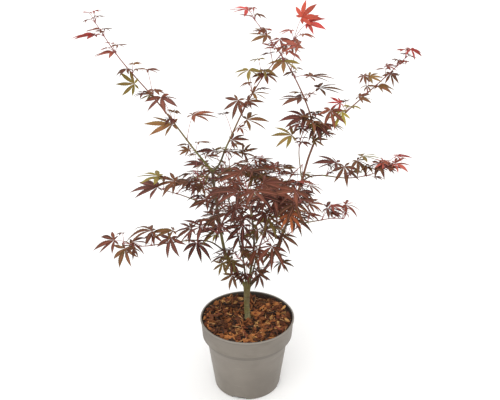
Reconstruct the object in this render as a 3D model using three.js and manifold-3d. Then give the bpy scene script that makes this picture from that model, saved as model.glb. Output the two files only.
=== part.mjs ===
// A young Japanese maple in a round plastic nursery pot, built as a graph of named solids.
// Units are millimetres, +Z is up, and the origin is the middle of the pot's flat underside.
import * as THREE from "three";
import { mergeVertices } from "three/addons/utils/BufferGeometryUtils.js";
import Module from "manifold-3d";

const wasm = await Module();
wasm.setup();

// Neighbours stand this far clear of each other
const SEAT = 0.3;

// Pot: a tall collar, a sloping shoulder below it, and a tapering body with a flat floor
const POT = { height: 157, rim: 95, wall: 1.6, floor: 2.4, sides: 32 };
const LIP = { height: 4, depth: 1.4, corner: 0.8 };
const COLLAR = { radius: 91, foot: 115, step: 1, slope: 2.5 };
const BODY = { top: 80.5, shoulder: 90, bottom: 68, corner: 1.6 };
const DRAIN = { count: 4, width: 27, depth: 16, height: 5.5, turn: -104 };

// What fills the pot: peat below, and a layer of bark chips on top of it
const PEAT_TOP = 126;
const MULCH = { top: 148, brim: 145, flat: 24, rings: [78, 60, 42], sink: 0.6 };
const MULCH_WAVE = { height: 2.2, alongX: 0.17, alongY: 0.15, across: 0.31, shift: 1.3 };
const CHIP = { count: 28, length: [10, 26], width: [4, 10], thick: [2, 3.6], tip: 0.9, lean: 0.5 };
const CHIP_SPREAD = { from: 24, over: 52, turn: 2.4 };

// Trunk: from its flat cut on the mulch up to the head that the stems fork from
const TRUNK = { foot: [1, 8], waist: [-1, 8, 176], head: [0, 8], top: 226, radius: 6, sides: 10, steps: 9 };
const FLARE = { radius: 3.4, fade: 9 };
const HEAD_SWELL = { radius: 3.2, power: 5 };
const TRUNK_HOLE = { radius: TRUNK.radius + FLARE.radius + 1.5, height: 40, sides: 12 };
const TRUNK_SPARE = { below: 3, above: 4 };

// Limbs: each is one tapering stem along a smooth line through a few stations.
// Each starts on the axis of what carries it, and is then cut clear of that.
const LIMBS = {
  left_stem: { root: 3.6, tip: 2.4, along: [[-2.5, 8, 219], [-40, 4, 290], [-55, 0, 388], [-64, 0, 471]] },
  right_stem: { root: 3.2, tip: 2.3, along: [[2.5, 8, 219], [43, 4, 276], [75, -4, 365], [101, -10, 457]] },
  front_stem: { root: 2.6, tip: 1.8, along: [[1, 4, 219], [10, -28, 300], [13, -64, 360], [9, -116, 432]] },
  back_left_stem: { root: 2, tip: 1.5, along: [[-2, 12, 219], [-8, 42, 262], [-24, 84, 318], [-38, 112, 362]] },
  back_right_stem: { root: 1.9, tip: 1.4, along: [[3.5, 12, 219], [18, 44, 262], [38, 88, 314], [54, 122, 352]] },
  left_fork: { root: 2.1, tip: 1.8, along: [[-64, 0, 471], [-91, 2, 505]] },
  middle_fork: { root: 2, tip: 1.8, along: [[-64, 0, 468], [-50, 4, 484], [-40, 8, 509]] },
  right_fork: { root: 2.1, tip: 1.9, along: [[101, -10, 457], [110, -12, 498], [119, -14, 528]] },
  lower_left_limb: { root: 1.7, tip: 1.3, along: [[-43, 3, 302], [-70, -14, 332], [-106, -34, 346]] },
  middle_left_limb: { root: 1.4, tip: 1.2, along: [[-55, 0, 390], [-92, -14, 417]] },
  lower_right_limb: { root: 1.5, tip: 1.2, along: [[74, -4, 362], [92, -22, 377], [108, -38, 384]] },
  right_limb: { root: 1.6, tip: 1.3, along: [[100, -10, 454], [116, -15, 466], [136, -22, 471]] },
};
const LIMB_SIDES = 6;
const EXTRA_STEPS = 2;

// Shoots: each is one mass of foliage on one stem, with opposite pairs of leaves on long stalks.
// leaf and stalk are lengths on the first pair and on the last one, spin is the first pair's turn
// round the stem, lean is how far the blades tip forward, and face turns the last pair to the front.
const SHOOTS = {
  left_whip: { root: 1.7, pairs: 7, first: 0.01, leaf: [42, 26], stalk: [34, 16], spin: 40, lean: 0.12,
    along: [[-91, 2, 505], [-155, 8, 594], [-218, 14, 671], [-260, 22, 736]] },
  middle_whip: { root: 1.7, pairs: 7, first: 0.12, leaf: [38, 44], stalk: [30, 28], spin: 10, lean: 0.12, face: 1.1,
    along: [[-40, 8, 509], [-3, 28, 584], [34, 48, 641], [86, 62, 700]] },
  crossing_whip: { root: 1.8, pairs: 7, first: 0.06, leaf: [42, 28], stalk: [34, 16], spin: 20, lean: 0.12,
    along: [[119, -14, 528], [109, -13, 587], [70, -10, 667], [11, 2, 744]] },
  right_whip: { root: 1.6, pairs: 6, first: 0.1, leaf: [40, 24], stalk: [32, 15], spin: 70, lean: 0.12,
    along: [[119, -14, 531], [178, -12, 590], [236, -2, 642], [275, 10, 677]] },
  right_branch: { root: 1.3, pairs: 5, first: 0.05, leaf: [42, 32], stalk: [34, 16], spin: 30, lean: 0.1,
    along: [[136, -22, 471], [180, -38, 472], [216, -52, 484], [236, -60, 498]] },
  slender_twig: { root: 1.1, pairs: 3, first: 0.45, leaf: [40, 36], stalk: [28, 14], spin: 40, lean: 0.3,
    along: [[100, -10, 459], [93, -18, 512], [96, -24, 545], [106, -28, 566]] },
  lower_left_branch: { root: 1.3, pairs: 6, first: 0.04, leaf: [46, 38], stalk: [32, 18], spin: 30, lean: 0.2,
    along: [[-106, -34, 346], [-158, -54, 348], [-192, -66, 350], [-222, -76, 362]] },
  middle_left_branch: { root: 1.2, pairs: 4, first: 0.06, leaf: [44, 38], stalk: [30, 18], spin: 80, lean: 0.25,
    along: [[-92, -14, 417], [-120, -26, 434], [-146, -36, 447], [-162, -42, 458]] },
  lower_right_branch: { root: 1.2, pairs: 4, first: 0.05, leaf: [38, 32], stalk: [24, 12], spin: 35, lean: 0.25,
    along: [[108, -38, 384], [130, -50, 394], [152, -58, 402], [172, -64, 404]] },
  front_crown: { root: 1.7, pairs: 4, first: 0.2, leaf: [46, 54], stalk: [34, 26], spin: 40, lean: 0.35, twigs: 1,
    along: [[9, -116, 432], [4, -160, 474], [0, -194, 504], [2, -218, 524]] },
  front_right_crown: { root: 1.5, pairs: 4, first: 0.25, leaf: [44, 50], stalk: [32, 24], spin: 50, lean: 0.4, twigs: 1,
    along: [[10, -104, 417], [38, -146, 450], [64, -180, 480], [84, -204, 500]] },
  front_left_crown: { root: 1.4, pairs: 3, first: 0.3, leaf: [46, 44], stalk: [30, 20], spin: 25, lean: 0.3, twigs: 1,
    along: [[12, -72, 371], [-16, -106, 396], [-36, -130, 412], [-50, -150, 420]] },
  front_low: { root: 1.3, pairs: 3, first: 0.3, leaf: [42, 42], stalk: [28, 20], spin: 70, lean: 0.35,
    along: [[12, -52, 341], [24, -84, 362], [32, -112, 382], [36, -132, 394]] },
  low_centre: { root: 1.2, pairs: 3, first: 0.3, leaf: [38, 38], stalk: [26, 18], spin: 0, lean: 0.5,
    along: [[7, -14, 272], [-4, -36, 296], [-12, -58, 318], [-18, -78, 334]] },
  low_left: { root: 1.1, pairs: 2, first: 0.5, leaf: [34, 32], stalk: [20, 14], spin: 60, lean: 0.6,
    along: [[-22, 6, 258], [-30, -10, 276], [-36, -24, 290]] },
  low_right: { root: 1.1, pairs: 2, first: 0.4, leaf: [34, 32], stalk: [22, 14], spin: 26, lean: 0.5,
    along: [[30, 5, 258], [42, -12, 278], [50, -26, 294]] },
  inner_left: { root: 1.3, pairs: 3, first: 0.25, leaf: [42, 40], stalk: [28, 20], spin: 45, lean: 0.2, twigs: 1,
    along: [[-56, 0, 396], [-34, 24, 414], [-14, 44, 428], [4, 58, 438]] },
  upper_inner: { root: 1.3, pairs: 3, first: 0.2, leaf: [38, 34], stalk: [26, 18], spin: 10, lean: 0.15, twigs: 1,
    along: [[-62, 0, 452], [-34, 20, 470], [0, 36, 480], [30, 46, 484]] },
  outer_left: { root: 1.1, pairs: 3, first: 0.4, leaf: [36, 34], stalk: [24, 16], spin: 75, lean: 0.2,
    along: [[-60, 0, 434], [-84, 14, 452], [-100, 24, 462]] },
  inner_right: { root: 1.3, pairs: 3, first: 0.25, leaf: [42, 38], stalk: [28, 20], spin: 36, lean: 0.2, twigs: 1,
    along: [[86, -7, 402], [62, 10, 424], [44, 24, 440], [28, 34, 450]] },
  outer_right: { root: 1.2, pairs: 3, first: 0.35, leaf: [42, 38], stalk: [28, 18], spin: 55, lean: 0.3,
    along: [[60, 1, 320], [86, 16, 338], [108, 28, 350]] },
  back_left_crown: { root: 1.4, pairs: 4, first: 0.15, leaf: [46, 40], stalk: [32, 20], spin: 65, lean: 0.3, twigs: 1,
    along: [[-38, 112, 362], [-60, 142, 392], [-82, 168, 410], [-102, 186, 420]] },
  back_crown: { root: 1.3, pairs: 3, first: 0.3, leaf: [44, 40], stalk: [30, 20], spin: 5, lean: 0.3, twigs: 1,
    along: [[-22, 80, 312], [-2, 112, 350], [8, 148, 382], [12, 178, 404]] },
  back_right_crown: { root: 1.3, pairs: 4, first: 0.15, leaf: [46, 40], stalk: [32, 20], spin: 35, lean: 0.3, twigs: 1,
    along: [[54, 122, 352], [78, 150, 380], [100, 174, 400], [118, 192, 412]] },
};
const SHOOT_SIDES = 3;
const SHOOT_TIP = 0.85;
const LAST_PAIR = 0.985;
const PAIR_SPACING = 1.2;

// The side twig of a shoot, with leaves of its own
const TWIG = { from: 0.35, length: 46, lengthSpread: 0.4, root: 0.9, steps: 2, ahead: 0.5, rise: 0.25, sag: 2 };
const TWIG_LEAVES = { pairs: 2, first: 0.55, stalk: [20, 14], spin: 45, seed: 31 };

// How a leaf stalk leaves its stem, and how the blade hangs from it.
// Each spread is the whole width of a chance difference, and the turns are in degrees.
const STALK = { ahead: 0.55, aheadSpread: 0.4, rise: 0.8, turnSpread: 50, lengthSpread: 0.5, radius: 0.4, mouth: 1.1 };
const BLADE = { thick: 1.3, lengthSpread: 0.24, turnSpread: 52, tiltSpread: 0.5, rollSpread: 0.5 };
const DROOP = { depth: 0.22, spread: 0.8 };
const ROOM_SHARED = 0.5;

// A leaf's lobes: how far round from the middle lobe each points, how far it reaches, and
// whether it is broad enough to have shoulders half way along
const LOBES = [
  { turn: 0, reach: 1, broad: true },
  { turn: 40, reach: 0.92, broad: true },
  { turn: 84, reach: 0.66, broad: false },
];
const LOBE_SHOULDER = { at: 0.5, turn: 10 };
const NOTCH = 0.15;
const BLADE_FOOT = { at: 0.13, turn: 164, mouth: 0.8 };

const UP = new THREE.Vector3(0, 0, 1);
const FRONT = new THREE.Vector3(0, -1, 0);
const HEADING_STEP = 0.01;
const SHORTEST_EDGE = 0.03;
const BEYOND = 800;
const { degToRad, lerp, smoothstep } = THREE.MathUtils;

// A repeatable number from 0 to 1 for a seed and a count
function chance(seed, count) {
  const wave = Math.sin(seed * 127.1 + count * 311.7) * 43758.5453;
  return wave - Math.floor(wave);
}

function smoothLine(stations) {
  const points = stations.map((station) => new THREE.Vector3(...station));
  return new THREE.CatmullRomCurve3(points, false, "catmullrom", 0.5);
}

function headingOf(line, t) {
  const ahead = line.getPoint(Math.min(1, t + HEADING_STEP));
  return ahead.sub(line.getPoint(Math.max(0, t - HEADING_STEP))).normalize();
}

// The point at t on the straight pieces that a stem of so many steps is made of
function pointOnSteps(line, steps, t) {
  const step = Math.min(steps - 1, Math.floor(t * steps));
  return line.getPoint(step / steps).lerp(line.getPoint((step + 1) / steps), t * steps - step);
}

// A closed geometry as a manifold solid
function solidOf(geometry) {
  const bare = geometry.clone();
  bare.deleteAttribute("normal");
  bare.deleteAttribute("uv");
  const merged = mergeVertices(bare, 1e-4);
  return new wasm.Manifold(
    new wasm.Mesh({
      numProp: 3,
      vertProperties: new Float32Array(merged.attributes.position.array),
      triVerts: new Uint32Array(merged.index.array),
    }),
  );
}

// The largest body of a solid, without loose scraps
function largestOf(solid) {
  return solid.decompose().reduce((best, body) => (body.volume() > best.volume() ? body : best));
}

// The same solid with the ends of its very short edges drawn together
function withoutSlivers(solid) {
  const { numProp, numVert, vertProperties, triVerts } = solid.getMesh();
  const corners = Array.from({ length: numVert }, (_, i) =>
    new THREE.Vector3().fromArray(vertProperties, i * numProp));
  const kept = corners.map((_, i) => i);
  const keptFor = (i) => (kept[i] === i ? i : keptFor(kept[i]));
  const triangles = [];
  for (let i = 0; i < triVerts.length; i += 3) triangles.push([...triVerts.subarray(i, i + 3)]);
  for (const [a, b, c] of triangles)
    for (const [from, to] of [[a, b], [b, c], [c, a]].map((edge) => edge.map(keptFor)))
      if (corners[from].distanceTo(corners[to]) < SHORTEST_EDGE)
        kept[Math.max(from, to)] = Math.min(from, to);
  const faces = new Map();
  for (const face of triangles.map((triangle) => triangle.map(keptFor))) {
    if (new Set(face).size < 3) continue;
    const key = [...face].sort((a, b) => a - b).join();
    if (faces.has(key)) faces.delete(key);
    else faces.set(key, face);
  }
  const geometry = new THREE.BufferGeometry().setFromPoints(corners);
  geometry.setIndex([...faces.values()].flat());
  return solidOf(geometry);
}

function meshOf(name, solid, material) {
  const { numProp, numVert, vertProperties, triVerts } = withoutSlivers(solid).getMesh();
  const positions = new Float32Array(numVert * 3);
  for (let i = 0; i < numVert; i++)
    positions.set(vertProperties.subarray(i * numProp, i * numProp + 3), i * 3);
  const geometry = new THREE.BufferGeometry();
  geometry.setAttribute("position", new THREE.BufferAttribute(positions, 3));
  geometry.setIndex(new THREE.BufferAttribute(triVerts, 1));
  geometry.computeVertexNormals();
  const mesh = new THREE.Mesh(geometry, material);
  mesh.name = name;
  return mesh;
}

// A slab between two heights, to cut a solid flat
function slab(low, high) {
  const box = new THREE.BoxGeometry(BEYOND, BEYOND, high - low);
  return solidOf(box.translate(0, 0, (low + high) / 2));
}

// A closed tube round a line. Its radius is a function of the way along, and grow widens it all over.
function tube(line, radiusAt, sides, steps, grow = 0) {
  const geometry = new THREE.CylinderGeometry(1, 1, 1, sides, steps);
  const position = geometry.attributes.position;
  const chord = line.getPoint(1).sub(line.getPoint(0));
  const sizes = [Math.abs(chord.x), Math.abs(chord.y), Math.abs(chord.z)];
  const aside = new THREE.Vector3().setComponent(sizes.indexOf(Math.min(...sizes)), 1);
  for (let i = 0; i < position.count; i++) {
    const t = position.getY(i) + 0.5;
    const heading = headingOf(line, t);
    const across = new THREE.Vector3().crossVectors(heading, aside).normalize();
    const other = new THREE.Vector3().crossVectors(across, heading);
    const radius = radiusAt(t) + grow;
    const end = Math.round(t * steps);
    const beyond = end === 0 ? -grow : end === steps ? grow : 0;
    const point = line.getPoint(t).addScaledVector(heading, beyond);
    point.addScaledVector(across, radius * position.getX(i));
    point.addScaledVector(other, radius * position.getZ(i));
    position.setXYZ(i, point.x, point.y, point.z);
  }
  return solidOf(geometry);
}

function taper(root, tip) {
  return (t) => lerp(root, tip, t);
}

// The pot's outline from its floor up to its lip, set in by an amount
function potOutline(inset) {
  return [
    [BODY.bottom - BODY.corner - inset, 0],
    [BODY.bottom - inset, BODY.corner],
    [BODY.top - inset, BODY.shoulder],
    [COLLAR.radius - COLLAR.step - inset, COLLAR.foot - COLLAR.slope],
    [COLLAR.radius - inset, COLLAR.foot],
    [POT.rim - LIP.depth - inset, POT.height - LIP.height],
  ];
}

function lathe(outline) {
  const profile = outline.map(([radius, height]) => new THREE.Vector2(radius, height));
  return new THREE.LatheGeometry(profile, POT.sides).rotateX(Math.PI / 2);
}

// The radius of the pot's inner face at a height
function innerRadius(height) {
  const line = potOutline(POT.wall);
  const above = line.findIndex(([, z]) => z >= height);
  const [[r0, z0], [r1, z1]] = [line[above - 1], line[above]];
  return lerp(r0, r1, (height - z0) / (z1 - z0));
}

function buildPot() {
  const inner = potOutline(POT.wall).slice(2).reverse();
  const outline = [
    [0, 0],
    ...potOutline(0),
    [POT.rim, POT.height - LIP.height + LIP.corner],
    [POT.rim, POT.height - LIP.corner],
    [POT.rim - LIP.corner, POT.height],
    [POT.rim - LIP.depth - POT.wall, POT.height],
    ...inner,
    [BODY.bottom - POT.wall, POT.floor],
    [0, POT.floor],
  ];
  let pot = solidOf(lathe(outline));
  for (let i = 0; i < DRAIN.count; i++) {
    const slot = new THREE.BoxGeometry(DRAIN.depth, DRAIN.width, DRAIN.height * 2);
    slot.translate(BODY.bottom, 0, 0);
    slot.rotateZ(degToRad(DRAIN.turn + (360 / DRAIN.count) * i));
    pot = pot.subtract(solidOf(slot));
  }
  return pot;
}

function buildPeat() {
  const low = POT.floor + SEAT;
  const heights = [low, BODY.shoulder, COLLAR.foot - COLLAR.slope, COLLAR.foot, PEAT_TOP];
  const side = heights.map((z) => [innerRadius(z) - SEAT, z]);
  return solidOf(lathe([[0, low], ...side, [0, PEAT_TOP]]));
}

// The top of the mulch: low waves that die out in the middle, where the trunk stands
function mulchRise(x, y) {
  const { height, alongX, alongY, across, shift } = MULCH_WAVE;
  const fade = smoothstep(Math.hypot(x, y), MULCH.flat, 2 * MULCH.flat);
  const wave = Math.sin(x * alongX + shift) * Math.cos(y * alongY) + Math.sin((x + y) * across) / 2;
  return height * fade * (wave - MULCH.sink);
}

function barkChip(count) {
  const size = (range, seed) => lerp(...range, chance(seed, count));
  const chip = new THREE.BoxGeometry(size(CHIP.length, 3), size(CHIP.width, 5), size(CHIP.thick, 7));
  chip.rotateX(CHIP.tip * (chance(11, count) - 0.5));
  chip.rotateY(CHIP.lean * (chance(13, count) - 0.5));
  chip.rotateZ(Math.PI * chance(17, count));
  const out = CHIP_SPREAD.from + CHIP_SPREAD.over * Math.sqrt((count + 0.5) / CHIP.count);
  const x = out * Math.cos(CHIP_SPREAD.turn * count);
  const y = out * Math.sin(CHIP_SPREAD.turn * count);
  return solidOf(chip.translate(x, y, MULCH.top + mulchRise(x, y)));
}

function buildMulch() {
  const low = PEAT_TOP + SEAT;
  const side = [low, MULCH.brim].map((z) => [innerRadius(z) - SEAT, z]);
  const rings = [...MULCH.rings, MULCH.flat].map((radius) => [radius, MULCH.top]);
  const bed = lathe([[0, low], ...side, ...rings, [0, MULCH.top]]);
  const position = bed.attributes.position;
  for (let i = 0; i < position.count; i++)
    if (position.getZ(i) > MULCH.brim)
      position.setZ(i, MULCH.top + mulchRise(position.getX(i), position.getY(i)));
  const { radius, height, sides } = TRUNK_HOLE;
  const hole = new THREE.CylinderGeometry(radius, radius, height, sides).rotateX(Math.PI / 2);
  hole.translate(...TRUNK.foot, MULCH.top + height / 2);
  const chips = Array.from({ length: CHIP.count }, (_, count) => barkChip(count));
  return largestOf(wasm.Manifold.union([solidOf(bed), ...chips]).subtract(solidOf(hole)));
}

// The trunk's foot flares, and its head swells where the stems leave it
function trunkSolid(grow = 0) {
  const foot = MULCH.top + SEAT;
  const line = smoothLine([
    [...TRUNK.foot, foot - TRUNK_SPARE.below],
    TRUNK.waist,
    [...TRUNK.head, TRUNK.top + TRUNK_SPARE.above],
  ]);
  const radiusAt = (t) =>
    TRUNK.radius + FLARE.radius * Math.exp(-FLARE.fade * t) + HEAD_SWELL.radius * t ** HEAD_SWELL.power;
  return tube(line, radiusAt, TRUNK.sides, TRUNK.steps, grow).intersect(slab(foot - grow, TRUNK.top + grow));
}

// The rim of a leaf, as turns from the middle lobe and shares of its length, in order of turn
function leafRim() {
  const rim = [];
  const both = (turn, at) => rim.push({ turn, at }, { turn: -turn, at });
  LOBES.forEach(({ turn, reach, broad }, i) => {
    if (turn) both(turn, reach);
    else rim.push({ turn, at: reach });
    if (broad) {
      both(turn + LOBE_SHOULDER.turn, reach * LOBE_SHOULDER.at);
      if (turn) both(turn - LOBE_SHOULDER.turn, reach * LOBE_SHOULDER.at);
    }
    const next = LOBES[i + 1];
    if (next) both((turn + next.turn) / 2, NOTCH);
  });
  both(BLADE_FOOT.turn, BLADE_FOOT.at);
  return rim.sort((a, b) => a.turn - b.turn);
}

const RIM = leafRim();

// A leaf as one thin solid: two low cones over the rim, and a three-sided stalk that opens into
// the foot of the blade. The blade hangs lower the further out it reaches.
function leafSolid({ root, centre, forward, normal, length, droop }) {
  const across = new THREE.Vector3().crossVectors(normal, forward).normalize();
  const ahead = new THREE.Vector3().crossVectors(across, normal);
  const spot = (turn, at, lift) =>
    centre
      .clone()
      .addScaledVector(ahead, Math.cos(degToRad(turn)) * at * length)
      .addScaledVector(across, Math.sin(degToRad(turn)) * at * length)
      .addScaledVector(normal, lift - droop * length * at * at);
  const points = RIM.map(({ turn, at }) => spot(turn, at, 0));
  const last = RIM.length - 1;
  const [top, bottom, mouth, left, right, under] = [1, 2, 3, 4, 5, 6].map((i) => last + i);
  points.push(spot(0, 0, BLADE.thick / 2), spot(0, 0, -BLADE.thick / 2));
  points.push(spot(180, BLADE_FOOT.at * BLADE_FOOT.mouth, -STALK.mouth));
  points.push(root.clone().addScaledVector(across, -STALK.radius));
  points.push(root.clone().addScaledVector(across, STALK.radius));
  points.push(root.clone().addScaledVector(normal, -STALK.radius));
  const faces = [top, last, 0, bottom, mouth, last, bottom, 0, mouth];
  for (let i = 0; i < last; i++) faces.push(top, i, i + 1, bottom, i + 1, i);
  faces.push(last, right, left, last, left, 0, 0, left, under, 0, under, mouth);
  faces.push(mouth, under, right, mouth, right, last, left, right, under);
  const geometry = new THREE.BufferGeometry().setFromPoints(points);
  geometry.setIndex(faces);
  return solidOf(geometry);
}

// The directions at a place on a stem: along it, level across it, and square to both
function directionsAt(line, t) {
  const heading = headingOf(line, t);
  const level = new THREE.Vector3().crossVectors(UP, heading).normalize();
  const other = new THREE.Vector3().crossVectors(heading, level);
  return { heading, level, other };
}

// The leaves of one line of growth: opposite pairs, each pair a quarter turn on from the last
function leavesAlong({ line, steps, growth, seed }) {
  const leaves = [];
  for (let pair = 0; pair < growth.pairs; pair++) {
    const share = pair / (growth.pairs - 1);
    const t = lerp(growth.first, LAST_PAIR, 1 - (1 - share) ** PAIR_SPACING);
    const root = pointOnSteps(line, steps, t);
    const { heading, level, other } = directionsAt(line, t);
    for (const side of [0, 1]) {
      const draw = (k, spread) => spread * (chance(seed + k, pair * 2 + side) - 0.5);
      const turn = degToRad(growth.spin + 90 * pair + 180 * side + draw(1, STALK.turnSpread));
      const way = level.clone().multiplyScalar(Math.cos(turn)).addScaledVector(other, Math.sin(turn));
      way.addScaledVector(heading, STALK.ahead + draw(2, STALK.aheadSpread));
      way.addScaledVector(UP, STALK.rise).normalize();
      const stalk = lerp(...growth.stalk, share) * (1 + draw(3, STALK.lengthSpread));
      const length = lerp(...growth.leaf, share) * (1 + draw(4, BLADE.lengthSpread));
      const centre = root.clone().addScaledVector(way, stalk + BLADE_FOOT.at * length);
      const forward = new THREE.Vector3(way.x, way.y, 0).normalize();
      forward.applyAxisAngle(UP, degToRad(draw(5, BLADE.turnSpread)));
      const sideways = new THREE.Vector3().crossVectors(UP, forward);
      const normal = UP.clone().addScaledVector(forward, growth.lean + draw(6, BLADE.tiltSpread));
      normal.addScaledVector(sideways, draw(7, BLADE.rollSpread));
      if (share === 1) normal.addScaledVector(FRONT, growth.face ?? 0);
      const droop = DROOP.depth * (1 + draw(8, DROOP.spread));
      leaves.push({ root, centre, forward, normal: normal.normalize(), length, droop });
    }
  }
  return leaves;
}

// A side twig of a shoot, as a short line of growth
function twigOf({ line, steps, growth, seed }) {
  const root = pointOnSteps(line, steps, TWIG.from);
  const { heading, level } = directionsAt(line, TWIG.from);
  const way = level.addScaledVector(heading, TWIG.ahead).addScaledVector(UP, TWIG.rise).normalize();
  const length = TWIG.length * (1 + TWIG.lengthSpread * (chance(seed, 0) - 0.5));
  const tip = root.clone().addScaledVector(way, length);
  const middle = root.clone().addScaledVector(way, length / 2).addScaledVector(UP, -TWIG.sag);
  return {
    line: smoothLine([root, middle, tip].map((point) => point.toArray())),
    steps: TWIG.steps,
    growth: { ...growth, ...TWIG_LEAVES, spin: growth.spin + TWIG_LEAVES.spin },
    seed: seed + TWIG_LEAVES.seed,
  };
}

// What already stands, so that nothing new is grown through it
const standing = [];

function touches(solid, owner) {
  const { min, max } = solid.boundingBox();
  return standing.some(
    (other) =>
      other.owner !== owner &&
      [0, 1, 2].every((k) => min[k] < other.max[k] && max[k] > other.min[k]) &&
      solid.intersect(other.solid).volume() > 0,
  );
}

function stand(solid, owner) {
  standing.push({ solid, owner, ...solid.boundingBox() });
}

function clearOf(solid, grown) {
  return largestOf(grown.reduce((rest, other) => rest.subtract(other), solid));
}

const material = (color, roughness) => new THREE.MeshStandardMaterial({ color, roughness, metalness: 0 });
const POT_PLASTIC = material(0x918a80, 0.55);
const PEAT = material(0x2f221a, 0.95);
const BARK_CHIPS = material(0x8a4f2b, 0.9);
const GREEN_BARK = material(0x7c7a52, 0.8);
const STEM_BARK = material(0x6b4a38, 0.7);
const FOLIAGE = material(0x5d3531, 0.6);

const maple = new THREE.Group();
const place = (name, solid, look) => maple.add(meshOf(name, solid, look));

place("pot", buildPot(), POT_PLASTIC);
place("peat", buildPeat(), PEAT);
place("bark_mulch", buildMulch(), BARK_CHIPS);

const trunk = trunkSolid();
place("trunk", trunk, GREEN_BARK);
stand(trunk, "trunk");

const aboveHead = slab(TRUNK.top + SEAT, BEYOND);
const grownLimbs = [trunkSolid(SEAT)];
for (const [name, { along, root, tip }] of Object.entries(LIMBS)) {
  const line = smoothLine(along);
  const limbOf = (grow) => tube(line, taper(root, tip), LIMB_SIDES, along.length + EXTRA_STEPS, grow);
  const limb = clearOf(limbOf(0).intersect(aboveHead), grownLimbs);
  grownLimbs.push(limbOf(SEAT));
  place(name, limb, STEM_BARK);
  stand(limb, name);
}

const shoots = Object.entries(SHOOTS).map(([name, growth], i) => {
  const line = smoothLine(growth.along);
  const steps = growth.along.length + EXTRA_STEPS;
  const stemOf = (grow) => tube(line, taper(growth.root, SHOOT_TIP), SHOOT_SIDES, steps, grow);
  const stem = clearOf(stemOf(0), grownLimbs);
  grownLimbs.push(stemOf(SEAT));
  stand(stem, name);
  return { name, stem, line, steps, growth, seed: 100 * (i + 1) };
});

for (const { name, stem, ...main } of shoots) {
  const grown = [stem];
  const lines = [main];
  const twig = twigOf(main);
  const twigSolid = tube(twig.line, taper(TWIG.root, SHOOT_TIP), SHOOT_SIDES, twig.steps);
  if (main.growth.twigs && !touches(twigSolid, name)) {
    grown.push(twigSolid);
    stand(twigSolid, name);
    lines.push(twig);
  }
  const leaves = [];
  for (const leaf of lines.flatMap(leavesAlong)) {
    const solid = leafSolid(leaf);
    if (touches(solid, name)) continue;
    if (leaves.some((other) => other.intersect(solid).volume() > ROOM_SHARED)) continue;
    leaves.push(solid);
    stand(solid, name);
  }
  place("foliage_" + name, largestOf(wasm.Manifold.union([...grown, ...leaves])), FOLIAGE);
}

export default maple;
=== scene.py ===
# %% [markdown]
# # A potted Japanese maple, built in Blender over a fixed frame
# The frame is the plant as plain solids: a pot, what fills it, a trunk, twelve limbs and
# twenty-four leafy shoots. Each cell below dresses one of these with the shape and the
# finish of the real thing, in the same place and at the same size.
# All the numbers of the plant are millimetres, and MM turns them into Blender's metres.

# %% Load the frame
import math
from itertools import accumulate

import bpy
from mathutils import Matrix, Vector


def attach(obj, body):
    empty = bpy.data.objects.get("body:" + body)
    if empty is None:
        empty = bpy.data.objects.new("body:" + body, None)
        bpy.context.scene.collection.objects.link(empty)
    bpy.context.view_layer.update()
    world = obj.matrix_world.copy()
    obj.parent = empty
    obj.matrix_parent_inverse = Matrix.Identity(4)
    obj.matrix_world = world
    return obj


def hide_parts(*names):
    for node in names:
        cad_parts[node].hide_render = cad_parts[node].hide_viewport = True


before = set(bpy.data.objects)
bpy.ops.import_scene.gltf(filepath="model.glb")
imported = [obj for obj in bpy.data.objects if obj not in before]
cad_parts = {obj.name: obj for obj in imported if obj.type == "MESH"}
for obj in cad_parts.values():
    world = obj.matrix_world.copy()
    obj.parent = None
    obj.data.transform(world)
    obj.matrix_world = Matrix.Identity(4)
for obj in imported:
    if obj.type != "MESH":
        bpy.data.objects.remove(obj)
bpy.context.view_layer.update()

MM = 0.001
print("solids in the frame:", len(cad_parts))

# %% [markdown]
# ## The camera
# The rim of the pot is a circle, so the ellipse it makes in the picture gives the camera's
# tilt and its distance. A lens of 46.8 mm on a 36 mm sensor, a little under a metre high
# and 1.1 metres in front of the pot, draws that ellipse and the pot's sides as they are.

# %% Camera
LENS = 46.8
SENSOR = 36
EYE = Vector((5.6, -1114, 900))
TILT = 66.37
FARTHEST_SEEN = 60

lens = bpy.data.cameras.new("eye")
lens.lens = LENS
lens.sensor_width = SENSOR
lens.clip_end = FARTHEST_SEEN
camera = bpy.data.objects.new("eye", lens)
camera.location = EYE * MM
camera.rotation_euler = (math.radians(TILT), 0, 0)
bpy.context.scene.collection.objects.link(camera)
bpy.context.scene.camera = camera
print("camera tilt from straight down:", TILT, "degrees")

# %% [markdown]
# ## Light
# Plants for a catalogue stand in a light tent: light comes from everywhere, a little more
# of it from the front and above, and the background stays white. A pale world gives the
# light from everywhere. Two suns as wide as a softbox add a lit side, and light the floor
# as evenly far away as near by, where a lamp would leave a pool of light. The plain view
# keeps the colours as they are mixed.

# %% Lamps and world
WORLD_LIGHT = 1.0
SUNS = {
    "front_softbox": {"from": (-0.25, -0.8, 1.0), "strength": 1.05, "width": 45},
    "back_softbox": {"from": (0.7, 0.4, 1.2), "strength": 0.3, "width": 80},
}

world = bpy.data.worlds.new("light_tent")
world.use_nodes = True
backdrop = world.node_tree.nodes["Background"]
backdrop.inputs["Color"].default_value = (1, 0.995, 0.985, 1)
backdrop.inputs["Strength"].default_value = WORLD_LIGHT
bpy.context.scene.world = world
bpy.context.scene.view_settings.view_transform = "Standard"

for name, sun in SUNS.items():
    light = bpy.data.lights.new(name, "SUN")
    light.energy = sun["strength"]
    light.angle = math.radians(sun["width"])
    fixture = bpy.data.objects.new(name, light)
    fixture.rotation_euler = Vector(sun["from"]).to_track_quat("Z", "Y").to_euler()
    bpy.context.scene.collection.objects.link(fixture)
print("suns:", len(SUNS))

# %% [markdown]
# ## Colours and changing values
# A finish is a small net of shader nodes. Nets are easier to read as sums, so `Value` wraps
# the output of a node and lets Python's own signs add the Math nodes. Colours are written
# as they are seen on a screen, and `srgb` turns them into the light that Blender mixes.


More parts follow.
